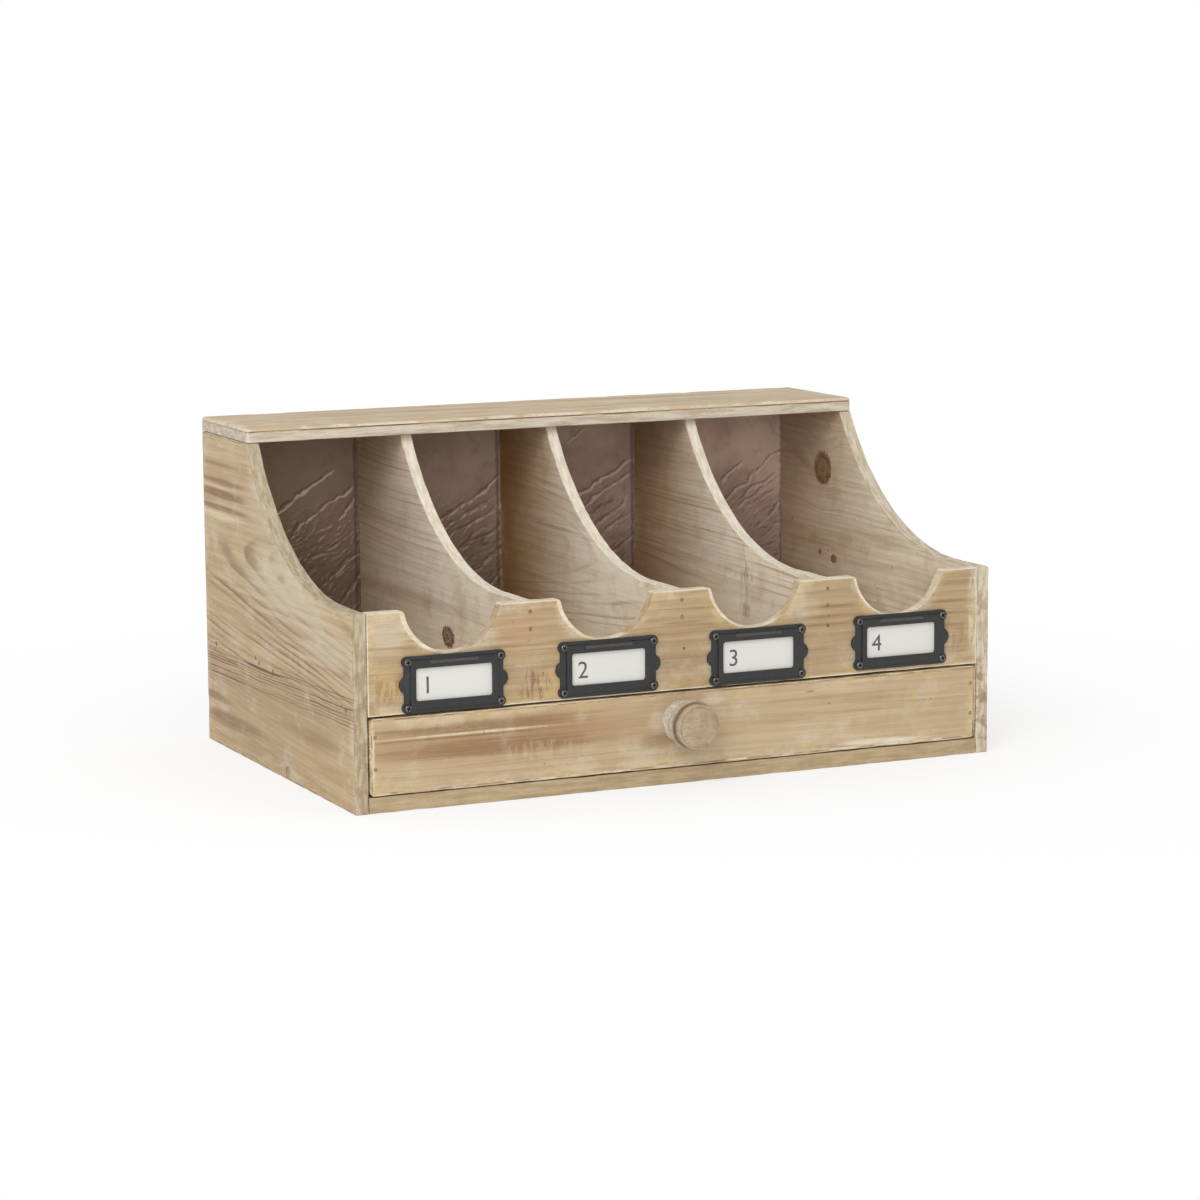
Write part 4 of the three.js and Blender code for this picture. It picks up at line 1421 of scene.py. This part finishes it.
def add_screw(name, head_height, front, turn, body):
    """A screw in its node's box, with its cross facing the front, -1 for -Y and 1 for +Y."""
    low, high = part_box(name)
    middle = (low + high) / 2
    radius = (high.x - low.x) / 2
    shank = (high.y - low.y) - head_height
    seat_y = low.y + head_height if front < 0 else high.y - head_height
    mesh = bmesh.new()
    painted_shade = mesh.verts.layers.float.new("painted_shade")
    profile = [(0.0, -shank), (SHANK_SHARE, -shank * POINT_SHARE), (SHANK_SHARE, 0.0)]
    profile += [(wide, rise * head_height) for wide, rise in HEAD_LINE_SHARES]
    places = [(middle.x + radius * wide, seat_y + front * rise, middle.z) for wide, rise in profile]
    spin_line(mesh, places, (middle.x, seat_y, middle.z), SCREW_STEPS)
    top_y = seat_y + front * head_height
    outline = [(middle.x + x, top_y, middle.z + z) for x, z in cross_outline(radius, turn)]
    floor = sink_cross(mesh, outline, front, head_height * CROSS_DEPTH_SHARE, middle)
    # The cross floor and the ring at the seat are painted dark as shade.
    for vertex in floor + [vertex for vertex in mesh.verts if abs(vertex.co.y - seat_y) < TOUCH]:
        vertex[painted_shade] = 1.0
    bmesh.ops.recalc_face_normals(mesh, faces=mesh.faces[:])
    return finished(mesh, name + "_head", dark_steel, body, [name], 35.0)


label_screws = sorted(name for name in nodes if name.startswith("label_screw"))
for index, name in enumerate(label_screws):
    add_screw(name, LABEL_HEAD_HEIGHT, -1, index * SCREW_TURN, "carcass")
add_screw("knob_screw", KNOB_HEAD_HEIGHT, 1, KNOB_SCREW_TURN, "drawer")
print("screws:", len(label_screws) + 1)

# %% [markdown]
# The cards are plain off-white paper with a number in grey print, one to four. A number starts as
# a text curve. It is made a mesh first and stood up on its card after that, so that its object
# can stay at the origin.

# %% Cards
NUMBER_HEIGHT = 10.0 * mm
NUMBER_THICK = 0.03 * mm
NUMBER_INSET = 5.0 * mm
NUMBER_DROP = 1.2 * mm
NUMBER_MERGE_GAP = 0.0005 * mm
CAPITAL_SHARE = 0.73


def card_paper():
    finish = Finish("card_paper")
    speck = finish.noise(finish.place(), 1.5)
    finish.tone = finish.mix(speck, colour(209, 208, 202), colour(200, 199, 192))
    return finish.surface(0.7, speck, 0.1, 0.05 * mm)


def printed_ink():
    finish = Finish("printed_ink")
    speck = finish.noise(finish.place(), 2.0)
    finish.tone = finish.mix(speck, colour(66, 66, 66), colour(92, 92, 90))
    return finish.surface(0.7)


def number_mesh(bay):
    """The digit of a bay as a flat mesh, lying at the origin."""
    text = bpy.data.curves.new(f"number_{bay}", "FONT")
    text.body = str(bay)
    text.size = NUMBER_HEIGHT / CAPITAL_SHARE
    text.extrude = NUMBER_THICK / 2
    text.align_y = "CENTER"
    text.resolution_u = 6
    drawn = bpy.data.objects.new(f"number_{bay}_drawn", text)
    bpy.context.scene.collection.objects.link(drawn)
    shape = bpy.data.meshes.new_from_object(drawn.evaluated_get(bpy.context.evaluated_depsgraph_get()))
    bpy.data.objects.remove(drawn)
    mesh = bmesh.new()
    mesh.from_mesh(shape)
    bpy.data.meshes.remove(shape)
    bmesh.ops.remove_doubles(mesh, verts=mesh.verts[:], dist=NUMBER_MERGE_GAP)
    return mesh


def add_number(bay, ink):
    """A plain number at the left of the card's window."""
    low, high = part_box(f"label_card_{bay}")
    mesh = number_mesh(bay)
    mesh.transform(upright(low.x + NUMBER_INSET, low.y - NUMBER_THICK, (low.z + high.z) / 2 - NUMBER_DROP))
    return finished(mesh, f"card_number_{bay}", ink, f"card_{bay}", smooth=30.0)


paper = card_paper()
ink = printed_ink()
for bay in BAYS:
    redress(nodes[f"label_card_{bay}"], paper)
    add_number(bay, ink)
print("cards numbered:", len(BAYS))

# %% [markdown]
# The knob was turned on a lathe, so it is one line spun around its axis: a foot on the drawer
# front, a thin neck, a round flange, a groove, and a flat disc with a ring cut into its face.
# The line is given as shares of the knob's own radius and reach.

# %% Knob shape
KNOB_SPIN = 96
KNOB_STEPS = 4
KNOB_FOOT_SHARE = 0.05
KNOB_DENT_SIZE = 6 * mm
KNOB_DENT = 0.25 * mm
GROOVE_REACH_SHARE = 0.725
RING_SHARE = 0.79
KNOB_LINE_SHARES = (
    (0.0, 0.0), (0.76, 0.0), (0.83, 0.02), (0.83, 0.1), (0.73, 0.15), (0.6, 0.22), (0.58, 0.31),
    (0.72, 0.4), (0.91, 0.47), (0.99, 0.55), (1.0, 0.61), (0.96, 0.67), (0.88, 0.7), (0.74, 0.71),
    (0.66, 0.725), (0.67, 0.77), (0.82, 0.785), (0.9, 0.81), (0.915, 0.85), (0.905, 0.91), (0.87, 0.95),
    (0.82, 0.962), (0.785, 0.958), (0.755, 0.965), (0.5, 0.985), (0.0, 1.0),
)


def between_points(before, start, end, after, t):
    """A place between start and end on a smooth curve, by the Catmull-Rom rule."""
    bend = (2 * before - 5 * start + 4 * end - after) * t * t
    twist = (3 * start - before - 3 * end + after) * t ** 3
    return 0.5 * (2 * start + (end - before) * t + bend + twist)


def rounded_line(points, steps):
    """A smooth line through the points, with a few steps between each two."""
    line = []
    for index in range(len(points) - 1):
        before, start = points[max(index - 1, 0)], points[index]
        end, after = points[index + 1], points[min(index + 2, len(points) - 1)]
        for step in range(steps):
            corners = zip(before, start, end, after)
            line.append(tuple(between_points(*corner, step / steps) for corner in corners))
    return line + [points[-1]]


print("knob line:", len(rounded_line(KNOB_LINE_SHARES, KNOB_STEPS)), "points")

# %% [markdown]
# The knob's grain runs from side to side and is too fine for rings to show, so one noise stretched
# that way draws it. Thin whitish paint is rubbed round its rim and sides, the groove is painted
# dark as shade, and the ring is painted brown as dirt and as shade. A low noise then pushes the
# turned surface in a little, all but its foot, which stays flat on the drawer front.


# %% Knob
def knob_finish(middle, radius, reach):
    """The knob's finish, in mm from its middle. Its front is at -reach / 2 along Y."""
    finish = Finish("knob_finish")
    point = finish.place(shift=-middle / mm)
    x, y, z = finish.axes(point)
    out = (x * x + z * z).root()
    fibre = finish.noise(finish.vector(x * 0.12, y * 0.9, z * 0.9), 1.0, 4.0, 0.6)
    patch = finish.noise(point, 0.12, 3.0, 0.6)
    speck = finish.noise(point, 0.7, 4.0, 0.7)
    finish.tone = colour(163, 144, 118)
    finish.lay(fibre.band(0.3, 0.7), colour(149, 128, 101))
    finish.lay(patch.band(0.5, 0.75, 0.0, 0.5), colour(144, 118, 88))
    rubbed = speck.band(0.35, 0.6) * patch.band(0.62, 0.4, 0.15, 1.0) * out.band(6.0, 13.0, 0.45, 1.0)
    finish.lay(rubbed * 0.4, colour(200, 190, 172))
    sides = y.band(-reach / mm * 0.2, -reach / mm * 0.05)
    finish.lay(sides * speck.band(0.35, 0.6, 0.2, 0.9), colour(196, 190, 178))
    # The ring cut into the face is painted brown, partly as dirt and partly as painted shade.
    ring = abs(out - RING_SHARE * radius / mm)
    front = y.band(-reach / mm * 0.35, -reach / mm * 0.43)
    finish.lay(ring.band(0.6, 0.1, 0.0, 0.35) * front, BROWN)
    # Painted shade: the groove behind the disc is darkened.
    groove = abs(y + reach / mm * (GROOVE_REACH_SHARE - 0.5))
    finish.lay(groove.band(1.5, 0.8, 0.0, 0.6), KNOT)
    return finish.surface(0.7, fibre + speck * rubbed, 0.4, 0.25 * mm, specular=0.3)


def add_knob():
    low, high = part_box("drawer_knob")
    middle = (low + high) / 2
    radius, reach = (high.x - low.x) / 2, high.y - low.y
    mesh = bmesh.new()
    places = [
        (middle.x + wide * radius, high.y - far * reach, middle.z)
        for wide, far in rounded_line(KNOB_LINE_SHARES, KNOB_STEPS)
    ]
    spin_line(mesh, places, (middle.x, high.y, middle.z), KNOB_SPIN)
    bmesh.ops.recalc_face_normals(mesh, faces=mesh.faces[:])
    for vertex in mesh.verts:
        if vertex.co.y < high.y - KNOB_FOOT_SHARE * reach:
            push = noise.noise(vertex.co / KNOB_DENT_SIZE) - 0.4
            vertex.co += vertex.normal * push * KNOB_DENT
    material = knob_finish(middle, radius, reach)
    return finished(mesh, "turned_knob", material, "drawer", ["drawer_knob"], 40.0)


knob = add_knob()
print("knob with", len(knob.data.polygons), "faces")

# %% [markdown]
# The stage is a white floor that fades to plain white away from the caddy, so that only the soft
# shadow under it shows. It lies a hair below the caddy, because two faces at one height flicker.

# %% Floor
FLOOR_RADIUS = 12
FLOOR_GAP = 0.05 * mm


def add_floor():
    mesh = bmesh.new()
    bmesh.ops.create_circle(mesh, cap_ends=True, segments=64, radius=FLOOR_RADIUS)
    data = bpy.data.meshes.new("floor")
    mesh.to_mesh(data)
    mesh.free()
    floor = bpy.data.objects.new("floor", data)
    floor.location.z = cad_box[0].z - FLOOR_GAP
    bpy.context.scene.collection.objects.link(floor)
    finish = Finish("floor_white")
    away = finish.node("ShaderNodeVectorMath", {0: finish.place(unit=1)}, output="Value", operation="LENGTH")
    camera_ray = finish.node("ShaderNodeLightPath", {}, output="Is Camera Ray")
    glossy_ray = finish.node("ShaderNodeLightPath", {}, output="Is Glossy Ray")
    share = (camera_ray + glossy_ray).least(1.0) * away.band(0.15, 0.6, 0.6, 1.0)
    matt = finish.node("ShaderNodeBsdfDiffuse", {"Color": (0.92, 0.92, 0.92, 1)})
    white = finish.node("ShaderNodeEmission", {"Color": (1, 1, 1, 1), "Strength": 1.0})
    data.materials.append(finish.end(finish.node("ShaderNodeMixShader", {0: share, 1: matt, 2: white})))
    return floor


floor = add_floor()
print("floor at", round(floor.location.z / mm, 2), "mm")

# %% [markdown]
# A large soft lamp stands at the upper left and a weaker one at the front, and an even sky fills
# the rest. The camera sees that sky as plain white, whatever its strength as a light.

# %% Light
SKY_LIGHT = 0.78
LAMPS = (
    ("key", (-1.5, -1.6, 1.75), 1.3, 27.0),
    ("front", (-1.1, -2.3, 0.75), 1.4, 15.0),
)
LAMP_AIM = Vector((0, 0, 0.1))


def add_sky():
    world = bpy.data.worlds.new("sky")
    bpy.context.scene.world = world
    world.use_nodes = True
    tree = world.node_tree
    tree.nodes.clear()
    path = tree.nodes.new("ShaderNodeLightPath")
    mixed = tree.nodes.new("ShaderNodeMixShader")
    tree.links.new(path.outputs["Is Camera Ray"], mixed.inputs[0])
    for index, strength in ((1, SKY_LIGHT), (2, 1.0)):
        white = tree.nodes.new("ShaderNodeBackground")
        white.inputs["Color"].default_value = (1, 1, 1, 1)
        white.inputs["Strength"].default_value = strength
        tree.links.new(white.outputs[0], mixed.inputs[index])
    end = tree.nodes.new("ShaderNodeOutputWorld")
    tree.links.new(mixed.outputs[0], end.inputs[0])


def add_lamp(name, place, size, power):
    lamp = bpy.data.lights.new(name, "AREA")
    lamp.size = size
    lamp.energy = power
    holder = bpy.data.objects.new(name, lamp)
    holder.location = place
    holder.rotation_euler = (LAMP_AIM - Vector(place)).to_track_quat("-Z", "Y").to_euler()
    bpy.context.scene.collection.objects.link(holder)


add_sky()
for lamp in LAMPS:
    add_lamp(*lamp)
bpy.context.scene.view_settings.view_transform = "Standard"
print("lamps:", len(LAMPS))
